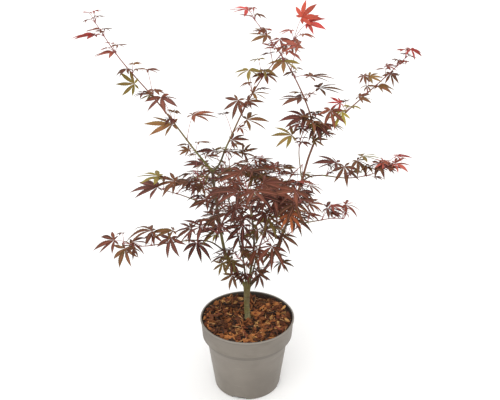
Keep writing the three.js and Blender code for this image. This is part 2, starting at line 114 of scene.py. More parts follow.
# %% Colours and values
def srgb(red, green, blue):
    """A colour as seen on a screen, from 0 to 255, in the light that Blender mixes."""
    parts = [part / 255 for part in (red, green, blue)]
    return (*[p / 12.92 if p < 0.04045 else ((p + 0.055) / 1.055) ** 2.4 for p in parts], 1)


class Value:
    """A number that changes over a surface, as the output socket of a node."""

    def __init__(self, finish, socket):
        self.finish, self.socket = finish, socket

    def maths(self, operation, *terms):
        node = self.finish.node("Math", {"operation": operation}, dict(enumerate(terms)))
        return Value(self.finish, node.outputs[0])

    def __add__(self, other):
        return self.maths("ADD", self, other)

    def __radd__(self, other):
        return self.maths("ADD", other, self)

    def __sub__(self, other):
        return self.maths("SUBTRACT", self, other)

    def __rsub__(self, other):
        return self.maths("SUBTRACT", other, self)

    def __mul__(self, other):
        return self.maths("MULTIPLY", self, other)

    def sine(self):
        return self.maths("SINE", self)

    def between(self, low, high):
        """0 below low, 1 above high, and a smooth rise between them."""
        settings = {"interpolation_type": "SMOOTHSTEP"}
        sockets = {"Value": self, "From Min": low, "From Max": high}
        node = self.finish.node("MapRange", settings, sockets)
        return Value(self.finish, node.outputs["Result"])


print("middle grey of a screen, as light:", round(srgb(128, 128, 128)[0], 3))

# %% [markdown]
# ## Writing a finish
# `Finish` makes a material. Its `node` method adds any node: its kind, its settings, which
# are set first, and then what goes into its sockets. The other methods are the few nodes
# that bark, leaves and plastic need: where a point is, noise, cells, a mix of two colours,
# and a relief.


# %% Helpers for finishes
class Finish:
    """A material with one Principled shader, whose even numbers are set on it directly.

    A socket is given by its name, with underscores for the spaces.
    """

    def __init__(self, name, **even):
        self.material = bpy.data.materials.new(name)
        self.material.use_nodes = True
        self.tree = self.material.node_tree
        self.shader = self.tree.nodes["Principled BSDF"]
        for socket, number in even.items():
            self.shader.inputs[socket.replace("_", " ")].default_value = number

    def node(self, kind, settings, sockets):
        node = self.tree.nodes.new("ShaderNode" + kind)
        for setting, choice in settings.items():
            setattr(node, setting, choice)
        for socket, content in sockets.items():
            self.feed(node.inputs[socket], content)
        return node

    def feed(self, socket, content):
        if isinstance(content, Value):
            self.tree.links.new(content.socket, socket)
        else:
            socket.default_value = content

    def attribute(self, name):
        """What a mesh says of itself, point by point, as a number and as a colour."""
        node = self.node("Attribute", {"attribute_name": name}, {})
        return Value(self, node.outputs["Fac"]), Value(self, node.outputs["Color"])

    def stretched(self, source, scale):
        """Coordinates with each axis scaled by its own number, in patterns per metre."""
        sockets = {"Vector": source, "Scale": scale}
        node = self.node("Mapping", {"vector_type": "POINT"}, sockets)
        return Value(self, node.outputs[0])

    def place(self):
        return Value(self, self.node("TexCoord", {}, {}).outputs["Object"])

    def height(self, where):
        return Value(self, self.node("SeparateXYZ", {}, {"Vector": where}).outputs["Z"])

    def noise(self, where, scale, detail=3.0, roughness=0.55):
        sockets = {"Vector": where, "Scale": scale, "Detail": detail, "Roughness": roughness}
        return Value(self, self.node("TexNoise", {}, sockets).outputs[0])

    def cells(self, where, scale):
        """The distance from the nearest of many scattered points, in cells."""
        sockets = {"Vector": where, "Scale": scale}
        node = self.node("TexVoronoi", {"feature": "F1"}, sockets)
        return Value(self, node.outputs["Distance"])

    def mix(self, share, first, second):
        """Two colours, the second over the first by a share."""
        settings = {"data_type": "RGBA", "blend_type": "MIX"}
        node = self.node("Mix", settings, {0: share, 6: first, 7: second})
        return Value(self, node.outputs[2])

    def relief(self, height, depth):
        """Bump from a height of 0 to 1, where 1 stands depth metres proud."""
        sockets = {"Height": height, "Distance": depth, "Strength": 1.0}
        node = self.node("Bump", {}, sockets)
        self.feed(self.shader.inputs["Normal"], Value(self, node.outputs[0]))

    def wear(self, **changing):
        for socket, content in changing.items():
            self.feed(self.shader.inputs[socket.replace("_", " ")], content)
        return self.material


print("helpers ready: Value and Finish")

# %% [markdown]
# ## The floor
# The plant stands on a wide sheet of pale paper that runs on far past the picture's edges,
# so no horizon shows. It isn't part of the plant. The two helpers here serve every piece that
# follows: one makes a mesh, and the other gives a piece its finish and hides the solid of the
# frame that it stands for.

# %% Floor
FLOOR_SIDE = 60000


def mesh_object(name, points, faces, smooth=True, attributes=()):
    """A mesh in metres from points in millimetres, with values or colours on its points."""
    mesh = bpy.data.meshes.new(name)
    mesh.from_pydata([Vector(point) * MM for point in points], [], faces)
    for label, values in dict(attributes).items():
        flat = not hasattr(values[0], "__len__")
        layer = mesh.attributes.new(label, "FLOAT" if flat else "FLOAT_COLOR", "POINT")
        content = values if flat else [part for value in values for part in value]
        layer.data.foreach_set("value" if flat else "color", content)
    mesh.polygons.foreach_set("use_smooth", [smooth] * len(mesh.polygons))
    thing = bpy.data.objects.new(name, mesh)
    bpy.context.scene.collection.objects.link(thing)
    return thing


def finish_piece(piece, finish, node):
    """Gives a piece its finish and puts it in the place of a solid of the frame."""
    piece.data.materials.clear()
    piece.data.materials.append(finish)
    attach(piece, "root")
    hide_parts(node)


half = FLOOR_SIDE / 2
corners = [(-half, -half, 0), (half, -half, 0), (half, half, 0), (-half, half, 0)]
floor = mesh_object("floor", corners, [(0, 1, 2, 3)])
paper = Finish("pale_paper", Roughness=0.9)
grain = paper.noise(paper.place(), 3.0)
white = paper.mix(grain, srgb(250, 250, 250), srgb(252, 252, 251))
floor.data.materials.append(paper.wear(Base_Color=white))
print("floor side in metres:", FLOOR_SIDE * MM)

# %% [markdown]
# ## The pot
# A nursery pot is blown or moulded in one thin wall: a tapering body, a sloping shoulder, a
# taller collar and a small lip, with notches in the foot that let water out. Its outline is
# turned round the axis, as on a lathe. The corners of the outline are cut by short arcs
# first, because a moulded edge is never sharp, and the notches are cut with boxes.

# %% Pot
POT = {"wall": 1.6, "floor": 2.4}
POT_SIDES = 160
POT_LINE = [
    (66.4, 0), (68, 1.6), (80.2, 95), (86, 112.6), (86.4, 116.6), (91.3, 118), (93.6, 153),
]
POT_LIP = [(95, 153.8), (95, 156.2), (94.2, 157), (92, 157)]
DRAIN = {"count": 4, "width": 27, "depth": 16, "height": 5.5, "turn": -104}
ROUNDING = {"share": 0.3, "most": 3.0, "steps": 4}
SHARP_FROM = 35


def rounded(outline):
    """The outline with each inner corner cut by a short arc."""
    line = [Vector(point) for point in outline]
    smooth = [line[0]]
    for before, corner, after in zip(line, line[1:], line[2:]):
        into, out = before - corner, after - corner
        reach = min(ROUNDING["most"], ROUNDING["share"] * min(into.length, out.length))
        start, end = corner + into.normalized() * reach, corner + out.normalized() * reach
        for step in range(ROUNDING["steps"] + 1):
            t = step / ROUNDING["steps"]
            smooth.append(start.lerp(corner, t).lerp(corner.lerp(end, t), t))
    return smooth + [line[-1]]


def lathe(outline, sides):
    """Points and faces of an outline of (radius, height) turned round the axis."""
    points, faces = [], []
    for radius, height in outline:
        for side in range(sides):
            turn = 2 * math.pi * side / sides
            points.append((radius * math.cos(turn), radius * math.sin(turn), height))
    for ring in range(len(outline) - 1):
        for side in range(sides):
            a, b = ring * sides + side, ring * sides + (side + 1) % sides
            faces.append((a, b, b + sides, a + sides))
    return points, faces


def cut_by(thing, cutter):
    """Takes one solid away from another, for good."""
    cut = thing.modifiers.new("cut", "BOOLEAN")
    cut.operation, cut.solver, cut.object = "DIFFERENCE", "EXACT", cutter
    graph = bpy.context.evaluated_depsgraph_get()
    thing.data = bpy.data.meshes.new_from_object(thing.evaluated_get(graph))
    thing.modifiers.clear()
    bpy.data.objects.remove(cutter)


def inner_line():
    """The inner face of the pot, from the lip down to the floor."""
    down = [(radius - POT["wall"], height) for radius, height in POT_LINE[:1:-1]]
    return down + [(POT_LINE[1][0] - POT["wall"], POT["floor"])]


outside = rounded([*POT_LINE, *POT_LIP])
inside = rounded([POT_LIP[-1], *inner_line()])[1:]
pot_points, pot_faces = lathe([*outside, *inside], POT_SIDES)
last_ring = len(pot_points) - POT_SIDES
pot_faces.append(tuple(range(last_ring, last_ring + POT_SIDES)))
pot_faces.append(tuple(reversed(range(POT_SIDES))))
within = [0.0] * (len(outside) * POT_SIDES) + [1.0] * (len(inside) * POT_SIDES)
pot = mesh_object("nursery_pot", pot_points, pot_faces, attributes={"inside": within})
for count in range(DRAIN["count"]):
    turn = math.radians(DRAIN["turn"] + 360 / DRAIN["count"] * count)
    near, far = POT_LINE[1][0] - DRAIN["depth"] / 2, POT_LINE[1][0] + DRAIN["depth"] / 2
    wide, high = DRAIN["width"] / 2, DRAIN["height"]
    corners = [(x, y, z) for z in (-high, high) for y in (-wide, wide) for x in (near, far)]
    sides = [(0, 2, 3, 1), (4, 5, 7, 6), (0, 1, 5, 4), (2, 6, 7, 3), (0, 4, 6, 2), (1, 3, 7, 5)]
    slot = mesh_object("slot", corners, sides, smooth=False)
    slot.data.transform(Matrix.Rotation(turn, 4, "Z"))
    cut_by(pot, slot)
pot.data.set_sharp_from_angle(angle=math.radians(SHARP_FROM))
print("pot faces:", len(pot.data.polygons))

# %% [markdown]
# ## Moulded plastic
# Recycled plastic comes out a warm grey with faint clouds, a fine matt grain, and a few paler
# scuffs that run round it, as pots are pushed along a bench. Water has stained the collar.
# Painted shade darkens the creases above and below the shoulder and the line under the lip,
# and the inside of the wall, and a painted highlight runs along the top of the lip. The clouds
# are a slow noise, scuffs and stains are noises stretched round the pot, and the rest follows
# the height, which a shader reads in metres. The grain is only a very shallow relief.

# %% Pot finish
# Painted shade: dark bands in the creases by the shoulder and under the lip, where shade falls.
CREASE_SHADES = [(0.1095, 0.113, 0.25), (0.1178, 0.1194, 0.5), (0.1524, 0.1536, 0.35)]
CREASE_FADE = 0.0007
COLLAR_FOOT = (0.118, 0.12)
LIP_HIGHLIGHT = (0.1546, 0.156)

plastic = Finish("pot_plastic", Roughness=0.5, Specular_IOR_Level=0.35)
where = plastic.place()
cloud = plastic.noise(where, 9.0).between(0.35, 0.7)
drag = plastic.noise(plastic.stretched(where, (30, 30, 420)), 1.0, 4.0)
scuff = drag.between(0.6, 0.75) * 0.35
body = plastic.mix(cloud, srgb(125, 118, 109), srgb(113, 106, 98))
body = plastic.mix(scuff, body, srgb(148, 142, 133))
height = plastic.height(where)
for low, high, share in CREASE_SHADES:
    crease_shade = height.between(low - CREASE_FADE, low)
    crease_shade = crease_shade * (1 - height.between(high, high + CREASE_FADE))
    body = plastic.mix(crease_shade * share, body, srgb(52, 46, 40))
collar = height.between(*COLLAR_FOOT)
stain = plastic.noise(plastic.stretched(where, (26, 26, 60)), 1.0, 4.0).between(0.46, 0.72)
body = plastic.mix(collar * (0.1 + stain * 0.22), body, srgb(88, 78, 66))
# Painted highlight: a pale band along the top of the lip, where it catches light.
body = plastic.mix(height.between(*LIP_HIGHLIGHT) * 0.25, body, srgb(172, 166, 156))
# Painted shade: the inside of the wall is darkened, as shade falls within the pot.
inner_shade, _ = plastic.attribute("inside")
body = plastic.mix(inner_shade * 0.75, body, srgb(58, 50, 43))
grain = plastic.noise(where, 900.0, 2.0)
plastic.relief(grain + drag * 0.5, 0.00012)
pot_finish = plastic.wear(Base_Color=body, Roughness=0.46 + cloud * 0.12)
finish_piece(pot, pot_finish, "pot")
print("pot finish nodes:", len(plastic.tree.nodes))

# %% [markdown]
# ## Chance that repeats
# A plant looks grown because no two leaves are alike, yet the picture must come out the same
# each time. `chance` turns a seed and a count into a number from 0 to 1 that looks random
# and never changes. The solids of the frame were grown with the same rule.


# %% Chance
def chance(seed, count):
    wave = math.sin(seed * 127.1 + count * 311.7) * 43758.5453
    return wave - math.floor(wave)


def lerp(start, end, share):
    return start + (end - start) * share


def smoothstep(number, low, high):
    share = min(1, max(0, (number - low) / (high - low)))
    return share * share * (3 - 2 * share)


print("chance(1, 1) is", round(chance(1, 1), 4))

# %% [markdown]
# ## Peat
# The mix under the bark shows only in the notches of the foot, dark and damp. It takes the
# shape of the pot's inside, and where the wall is cut away its crumbs keep that shape, so
# it is turned like the pot and then roughened point by point. The finish adds finer crumbs
# from a pattern of cells, a few pale fibres, and a rough damp surface.

# %% Peat
PEAT = {"top": 128, "gap": 0.3, "over_floor": 0.1, "rough": 0.7, "step": 2.5, "sides": 120}


def inner_radius(height):
    """The radius of the pot's inner face at a height."""
    line = [(radius - POT["wall"], z) for radius, z in POT_LINE]
    for (r0, z0), (r1, z1) in zip(line, line[1:]):
        if z0 <= height <= z1:
            return lerp(r0, r1, (height - z0) / (z1 - z0))
    return line[-1][0]


levels = round((PEAT["top"] - POT["floor"]) / PEAT["step"])
peat_outline = []
for level in range(levels + 1):
    height = lerp(POT["floor"] + PEAT["over_floor"], PEAT["top"], level / levels)
    peat_outline.append((inner_radius(height) - PEAT["gap"], height))
peat_points, peat_faces = lathe(peat_outline, PEAT["sides"])
for i, (x, y, z) in enumerate(peat_points):
    inward = 1 - PEAT["rough"] * chance(7, i) / math.hypot(x, y)
    peat_points[i] = (x * inward, y * inward, z)
peat_faces.append(tuple(range(len(peat_points) - PEAT["sides"], len(peat_points))))
peat_faces.append(tuple(reversed(range(PEAT["sides"]))))
peat = mesh_object("peat_mix", peat_points, peat_faces)

mould = Finish("damp_peat", Roughness=0.9)
where = mould.place()
crumb = mould.cells(where, 420.0)
fibre = mould.noise(mould.stretched(where, (300, 900, 300)), 1.0).between(0.66, 0.72)
soil = mould.mix(mould.noise(where, 160.0), srgb(38, 27, 21), srgb(66, 47, 35))
soil = mould.mix(fibre * 0.5, soil, srgb(120, 92, 66))
mould.relief(crumb, 0.0012)
peat_finish = mould.wear(Base_Color=soil, Roughness=0.82 + crumb * 0.15)
finish_piece(peat, peat_finish, "peat")
print("peat points:", len(peat_points))

# %% [markdown]
# ## The bed under the bark
# Between the chips of a mulch the eye falls into dark gaps. A rough dark bed that follows
# the mulch's low waves closes them. It is a disc of rings whose points are lifted by the
# waves and by a little chance, and it rises slowly from the trunk to the wall. There a
# skirt runs down behind the chips, so that no edge shows.

# %% Mulch bed
MULCH = {"top": 148, "brim": 152.4, "flat": 24, "sink": 0.6, "low": 126.3}
MULCH_WAVE = {"height": 2.2, "along_x": 0.17, "along_y": 0.15, "across": 0.31, "shift": 1.3}
WALL_GAP = 0.3
BED = {"rings": 26, "sides": 96, "rough": 2.4, "under": 2.2}


def mulch_height(x, y):
    fade = smoothstep(math.hypot(x, y), MULCH["flat"], 2 * MULCH["flat"])
    wave = math.sin(x * MULCH_WAVE["along_x"] + MULCH_WAVE["shift"])
    wave = wave * math.cos(y * MULCH_WAVE["along_y"])
    wave += math.sin((x + y) * MULCH_WAVE["across"]) / 2 - MULCH["sink"]
    edge = smoothstep(math.hypot(x, y), MULCH["flat"], inner_radius(MULCH["brim"]))
    rise = edge * (MULCH["brim"] - MULCH["top"])
    return MULCH["top"] + MULCH_WAVE["height"] * fade * wave + rise


bed_radius = inner_radius(MULCH["low"]) - WALL_GAP
bed_outline = [(bed_radius, MULCH["low"])]
brim_radius = inner_radius(MULCH["brim"] - BED["under"]) - WALL_GAP
bed_outline += [(brim_radius * (1 - ring / BED["rings"]), 0) for ring in range(BED["rings"])]
bed_points, bed_faces = lathe(bed_outline, BED["sides"])
for i in range(BED["sides"], len(bed_points)):
    x, y, _ = bed_points[i]
    lift = BED["rough"] * (chance(5, i) - 0.5)
    bed_points[i] = (x, y, mulch_height(x, y) - BED["under"] + lift)
bed_faces.append(tuple(range(len(bed_points) - BED["sides"], len(bed_points))))
bed = mesh_object("mulch_bed", bed_points, bed_faces)
humus = Finish("mulch_crumb", Roughness=0.95)
where = humus.place()
crumb = humus.noise(where, 330.0, 5.0)
dark = humus.mix(crumb.between(0.35, 0.7), srgb(34, 22, 16), srgb(84, 52, 32))
humus.relief(crumb, 0.002)
bed_finish = humus.wear(Base_Color=dark, Roughness=0.85 + crumb * 0.12)
finish_piece(bed, bed_finish, "bark_mulch")
print("bed points:", len(bed_points))

# %% [markdown]
# ## One flake of bark
# The mulch is shredded pine bark: flat flakes with torn ends, from a few millimetres to
# three centimetres long, and a little thicker in the middle. A flake is a long ring of
# points, blunt and ragged at its ends. A smaller ring above it and another below it give it
# a thickness, a lid and a base close them, and the whole flake is bent a little.

# %% Flakes
CHIP = {"count": 520, "long": (7, 27), "wide": (2.6, 10.5), "thick": (0.9, 3.0), "lift": 4.4}
SPLINTER = {"count": 300, "long": (8, 30), "wide": (0.8, 2.4), "thick": (0.5, 1.1), "lift": 5.4}
CRUMB = {"count": 420, "long": (2, 6), "wide": (1.2, 3.4), "thick": (0.6, 1.8), "lift": 3.6}
CHIP_RING = 12
MANY_SHORT = 1.3
RAGGED = 0.45
BLUNT = {"ends": 0.6, "sides": 0.7}
CHIP_BEND = 0.22
BULGE = 1.25
UPPER_RING, LOWER_RING = (0.8, 0.72), (0.85, 0.8)


def flake(seed, count, sizes):
    """The points of one flake about its middle: two middles and three rings."""
    length, width, thick = [
        lerp(*sizes[side], chance(seed + k, count) ** power)
        for k, (side, power) in enumerate([("long", MANY_SHORT), ("wide", 1), ("thick", 1)])
    ]
    ring = []
    for i in range(CHIP_RING):
        turn = 2 * math.pi * i / CHIP_RING
        cos, sin = math.cos(turn), math.sin(turn)
        ragged = 1 + RAGGED * (chance(seed + 10 + i, count) - 0.5)
        x = length / 2 * math.copysign(abs(cos) ** BLUNT["ends"], cos) * ragged
        y = width / 2 * math.copysign(abs(sin) ** BLUNT["sides"], sin) * ragged
        bend = CHIP_BEND * length * (2 * x / length) ** 2 * (chance(seed + 5, count) - 0.5)
        ring.append((x, y, bend))
    lid, base = thick / 2, -thick / 2
    middle = [(0, 0, lid * BULGE), (0, 0, base * BULGE)]
    upper = [(x * UPPER_RING[0], y * UPPER_RING[1], z + lid) for x, y, z in ring]
    lower = [(x * LOWER_RING[0], y * LOWER_RING[1], z + base) for x, y, z in ring]
    return [*middle, *upper, *ring, *lower]


def flake_faces():
    """Two lids and two bands, the same for every flake."""
    n, faces = CHIP_RING, []
    for i in range(n):
        j = (i + 1) % n
        faces.append((0, 2 + i, 2 + j))
        faces.append((2 + i, 2 + n + i, 2 + n + j, 2 + j))
        faces.append((2 + n + i, 2 + 2 * n + i, 2 + 2 * n + j, 2 + n + j))
        faces.append((1, 2 + 2 * n + j, 2 + 2 * n + i))
    return faces


FLAKE_FACES = flake_faces()
print("faces of a flake:", len(FLAKE_FACES))

# %% [markdown]
# ## Colours of bark
# Freshly split bark is orange-brown, weathered bark is dark, and some pale splinters of wood
# lie among them. Each list has a few base colours with a weight, and `deal` draws one of
# them for a flake. Leaves get their colours in the same way later.

# %% Colours of bark
CHIP_COLOURS = [
    ((150, 90, 50), 6),
    ((116, 66, 40), 5),
    ((182, 116, 64), 4),
    ((86, 52, 35), 5),
    ((48, 33, 27), 5),
    ((128, 70, 47), 4),
    ((206, 154, 92), 2),
]
SPLINTER_COLOURS = [
    ((206, 160, 108), 3),
    ((170, 110, 66), 3),
    ((122, 74, 46), 4),
    ((92, 56, 38), 3),
]


def deal(colours, draw):
    """One colour from a weighted list, for a draw from 0 to 1."""
    totals = list(accumulate(weight for _, weight in colours))
    for (colour, _), total in zip(colours, totals):
        if draw * totals[-1] <= total:
            return srgb(*colour)


print("colours of bark:", len(CHIP_COLOURS), "of splinters:", len(SPLINTER_COLOURS))

# %% [markdown]
# ## Laying the mulch
# Hundreds of flakes are laid out on a spiral, which covers the bed evenly, and each is
# turned and tilted as it fell. One that would touch the wall or the trunk, or lie too deep
# or too high, is left out. Each point keeps its flake's colour, and its place on the flake
# for the grain. That place is scaled up across the flake, so the grain is fine across it and
# long along it.

# %% Laying the mulch
CHIP_TILT = {"roll": 2.1, "pitch": 1.4}
SPIRAL = math.pi * (3 - math.sqrt(5))
SCATTER = {"from_wall": 3, "jitter": 4, "sunk": 0.35}
TRUNK_FOOT = (1, 8, 145.3)
TRUNK_ROOM = 9.5
LOWEST_CHIP, HIGHEST_CHIP = 140, 158.5
CHIP_LIGHT = {"least": 0.7, "more": 0.75}
GRAIN = {"apart": 100, "squeeze": 9}


def in_the_way(laid):
    """Whether a flake would touch the wall or the trunk, or lie too deep or too high."""
    foot_x, foot_y, _ = TRUNK_FOOT
    for x, y, z in laid:
        if math.hypot(x, y) > inner_radius(min(z, POT_LINE[-1][1])) - WALL_GAP:
            return True
        if math.hypot(x - foot_x, y - foot_y) < TRUNK_ROOM:
            return True
        if not LOWEST_CHIP <= z <= HIGHEST_CHIP:
            return True
    return False


def scatter(seed, sizes, colours):
    """All the flakes of one kind, as points, faces, colours and grain."""
    points, faces, tints, grains = [], [], [], []
    reach = inner_radius(MULCH["brim"]) - WALL_GAP
    for count in range(sizes["count"]):
        out = (reach - SCATTER["from_wall"]) * math.sqrt((count + 0.5) / sizes["count"])
        x = out * math.cos(SPIRAL * count) + SCATTER["jitter"] * (chance(seed + 40, count) - 0.5)
        y = out * math.sin(SPIRAL * count) + SCATTER["jitter"] * (chance(seed + 41, count) - 0.5)
        lift = sizes["lift"] * (chance(seed + 42, count) - SCATTER["sunk"])
        turned = (
            Matrix.Translation((x, y, mulch_height(x, y) + lift))
            @ Matrix.Rotation(math.pi * 2 * chance(seed + 43, count), 4, "Z")
            @ Matrix.Rotation(CHIP_TILT["pitch"] * (chance(seed + 44, count) - 0.5), 4, "Y")
            @ Matrix.Rotation(CHIP_TILT["roll"] * (chance(seed + 45, count) - 0.5), 4, "X")
        )
        shape = flake(seed, count, sizes)
        laid = [turned @ Vector(point) for point in shape]
        if in_the_way(laid):
            continue
        first = len(points)
        points += laid
        faces += [tuple(first + i for i in face) for face in FLAKE_FACES]
        colour = deal(colours, chance(seed + 46, count))
        light = CHIP_LIGHT["least"] + CHIP_LIGHT["more"] * chance(seed + 47, count)
        tints += [(*[part * light for part in colour[:3]], 1)] * len(laid)
        start, squeeze = GRAIN["apart"] * count, GRAIN["squeeze"]
        grains += [(x + start, y * squeeze, z * squeeze, 1) for x, y, z in shape]
    return points, faces, {"tint": tints, "grain": grains}


print("room round the trunk in mm:", TRUNK_ROOM)

# %% [markdown]
# ## Bark chips
# The three kinds of flakes share one finish. It starts from each flake's own colour. Dark
# stripes follow the grain, pale blotches are where the surface has come off, and wide damp
# patches run over the whole bed, so that the chips belong together. The chips are flat
# shaded, because torn bark has hard edges.

# %% Bark chips
chip_finish = Finish("bark_chip", Roughness=0.85, Specular_IOR_Level=0.25)
_, own = chip_finish.attribute("tint")
_, along_grain = chip_finish.attribute("grain")
stripe = chip_finish.noise(along_grain, 0.22, 4.0, 0.65)
blotch = chip_finish.noise(chip_finish.place(), 260.0)
wood = chip_finish.mix(stripe.between(0.42, 0.7) * 0.75, own, srgb(48, 29, 20))
wood = chip_finish.mix(blotch.between(0.6, 0.8) * 0.4, wood, srgb(196, 138, 84))
damp = chip_finish.noise(chip_finish.place(), 26.0)
wood = chip_finish.mix(damp.between(0.5, 0.66) * 0.6, wood, srgb(40, 27, 20))
chip_finish.relief(stripe, 0.0007)
chip_finish.wear(Base_Color=wood, Roughness=0.78 + stripe * 0.18)
for name, seed, sizes, colours in [
    ("bark_flakes", 300, CHIP, CHIP_COLOURS),
    ("bark_crumbs", 700, CRUMB, CHIP_COLOURS),
    ("wood_splinters", 500, SPLINTER, SPLINTER_COLOURS),
]:
    points, faces, attributes = scatter(seed, sizes, colours)
    chips = mesh_object(name, points, faces, smooth=False, attributes=attributes)
    finish_piece(chips, chip_finish.material, "bark_mulch")
    print(name, "points:", len(points))

# %% [markdown]
# ## Lines that stems follow
# Every stem is a smooth line through a few stations. A spline of the Catmull-Rom kind goes
# through each of them, with half the difference of its neighbours as its slope there, and
# the first and last stations are mirrored to start and end it. The frame's stems use the
# same line, so what is drawn here follows them. A stem's skin is a tube round its line, made
# of rings that never twist, with a blunt tip.


# %% Smooth lines
HEADING_STEP = 0.01
BLUNT_TIP = 0.8


class Line:
    """A smooth line through stations, read at t from 0 to 1."""

    def __init__(self, stations):
        line = [Vector(station) for station in stations]
        self.stations = [2 * line[0] - line[1], *line, 2 * line[-1] - line[-2]]

    def at(self, t):
        pieces = len(self.stations) - 3
        piece = min(pieces - 1, int(t * pieces))
        u = t * pieces - piece
        a, b, c, d = self.stations[piece : piece + 4]
        slope_b, slope_c = (c - a) / 2, (d - b) / 2
        return (
            (2 * b - 2 * c + slope_b + slope_c) * u**3
            + (3 * c - 3 * b - 2 * slope_b - slope_c) * u**2
            + slope_b * u
            + b
        )

    def heading(self, t):
        before, after = max(0, t - HEADING_STEP), min(1, t + HEADING_STEP)
        return (self.at(after) - self.at(before)).normalized()


def tube(line, radius_at, sides, steps, lumps=None):
    """A round skin along a line, as points, faces, and how far along it each point is."""
    chord = line.at(1) - line.at(0)
    sizes = [abs(part) for part in chord]
    aside = Vector([1.0 if k == sizes.index(min(sizes)) else 0.0 for k in range(3)])
    points, faces, along = [], [], []
    for step in range(steps + 1):
        t = step / steps
        heading = line.heading(t)
        across = heading.cross(aside).normalized()
        other = across.cross(heading)
        for side in range(sides):
            turn = 2 * math.pi * side / sides
            radius = radius_at(t) * (1 + (lumps(t, turn) if lumps else 0))
            way = across * math.cos(turn) + other * math.sin(turn)
            points.append(line.at(t) + way * radius)
            along.append(t)
        if step:
            first = (step - 1) * sides
            for side in range(sides):
                a, b = first + side, first + (side + 1) % sides
                faces.append((a, b, b + sides, a + sides))
    faces.append(tuple(reversed(range(sides))))
    points.append(line.at(1) + line.heading(1) * radius_at(1) * BLUNT_TIP)
    along.append(1.0)
    tip, first = len(points) - 1, steps * sides
    faces += [(first + side, first + (side + 1) % sides, tip) for side in range(sides)]
    return points, faces, along


halfway = Line([(0, 0, 0), (1, 0, 1), (0, 0, 2)]).at(0.5)
print("half way on a line through three stations:", tuple(halfway))

# %% [markdown]
# ## The trunk
# The stem of a young maple is finger-thick, green-grey and smooth, with faint cracks running
# up it, rings where old buds sat, and one thicker scar where it was grafted. It widens at
# the foot and again at the head, where the stems leave it. Rings and cracks change the
# outline, so they are real points of the mesh, and the finer grain is left to the finish.

# %% Trunk
TRUNK = {"waist": (-1, 8, 176), "head": (0, 8, 230), "radius": 5.4}
FLARE = {"radius": 1.8, "fade": 12}
HEAD_SWELL = {"radius": 3.2, "power": 5}
DOME = {"from": 0.93, "to": 1.02, "least": 0.02}
SCARS = [(0.27, 0.9, 0.012), (0.5, 0.5, 0.01), (0.72, 0.55, 0.01)]
SCAR_PROUD = 0.7
SCAR_STAIN = 0.014
TRUNK_MESH = {"sides": 48, "steps": 150}
TRUNK_CRACKS = 0.028

trunk_line = Line([TRUNK_FOOT, TRUNK["waist"], TRUNK["head"]])


def trunk_radius(t):
    """The trunk's radius, with its flared foot, its domed head and the scars as rings."""
    flare = FLARE["radius"] * math.exp(-FLARE["fade"] * t)
    scar = sum(deep * math.exp(-(((t - at) / wide) ** 2)) for at, deep, wide in SCARS)
    swell = HEAD_SWELL["radius"] * t ** HEAD_SWELL["power"]
    closing = smoothstep(t, DOME["from"], DOME["to"])
    dome = math.sqrt(max(DOME["least"], 1 - closing**2))
    return (TRUNK["radius"] + flare + swell) * dome + scar * SCAR_PROUD


def bark_lumps(seed, sharp):
    """Long cracks that run up a stem and wander a little, as a share of its radius."""

    def lumps(t, turn):
        wander = math.sin(5 * t + seed) + 0.6 * math.sin(11 * t + 2 * seed)
        ridge = math.sin(7 * turn + wander) + 0.7 * math.sin(13 * turn - 2 * wander + seed)
        ripple = 0.5 * math.sin(60 * t + 2 * math.sin(turn + seed))
        return sharp * (ridge + ripple) / 2

    return lumps


def scar_mark(t):
    """How much of a scar's stain there is at a place on the trunk."""
    return sum(math.exp(-(((t - at) / SCAR_STAIN) ** 2)) for at, _, _ in SCARS)


cracks = bark_lumps(3, TRUNK_CRACKS)
trunk_mesh = tube(trunk_line, trunk_radius, TRUNK_MESH["sides"], TRUNK_MESH["steps"], cracks)
points, faces, along = trunk_mesh
marks = {"along": along, "scar": [scar_mark(t) for t in along]}
trunk = mesh_object("trunk_bark", points, faces, attributes=marks)

bark = Finish("trunk_bark", Roughness=0.75, Specular_IOR_Level=0.3)
where = bark.place()
upright = bark.noise(bark.stretched(where, (420, 420, 60)), 1.0, 5.0, 0.6)
patch = bark.noise(where, 55.0)
pore = 1 - bark.cells(bark.stretched(where, (260, 260, 520)), 1.0).between(0.12, 0.3)
scar, _ = bark.attribute("scar")
green = bark.mix(patch.between(0.35, 0.65), srgb(116, 110, 62), srgb(142, 136, 98))
green = bark.mix(upright.between(0.45, 0.75) * 0.7, green, srgb(62, 56, 38))
up, _ = bark.attribute("along")
green = bark.mix(up.between(0.3, 0.75) * 0.55, green, srgb(84, 66, 38))
green = bark.mix(pore * 0.35, green, srgb(150, 142, 110))
green = bark.mix(scar * 0.5, green, srgb(66, 54, 36))
bark.relief(upright + pore * 0.4, 0.0005)
trunk_finish = bark.wear(Base_Color=green, Roughness=0.66 + upright * 0.2)
finish_piece(trunk, trunk_finish, "trunk")
print("trunk points:", len(points))

# %% [markdown]
# ## The limbs
# Five stems leave the head of the trunk, and some of them fork again. At its root each limb
# has a small collar where the two barks meet, and a faint ring every few centimetres shows
# where leaves once sat. The table has the stations, the radii and the ages of the twelve
# limbs, on the lines of their solids.

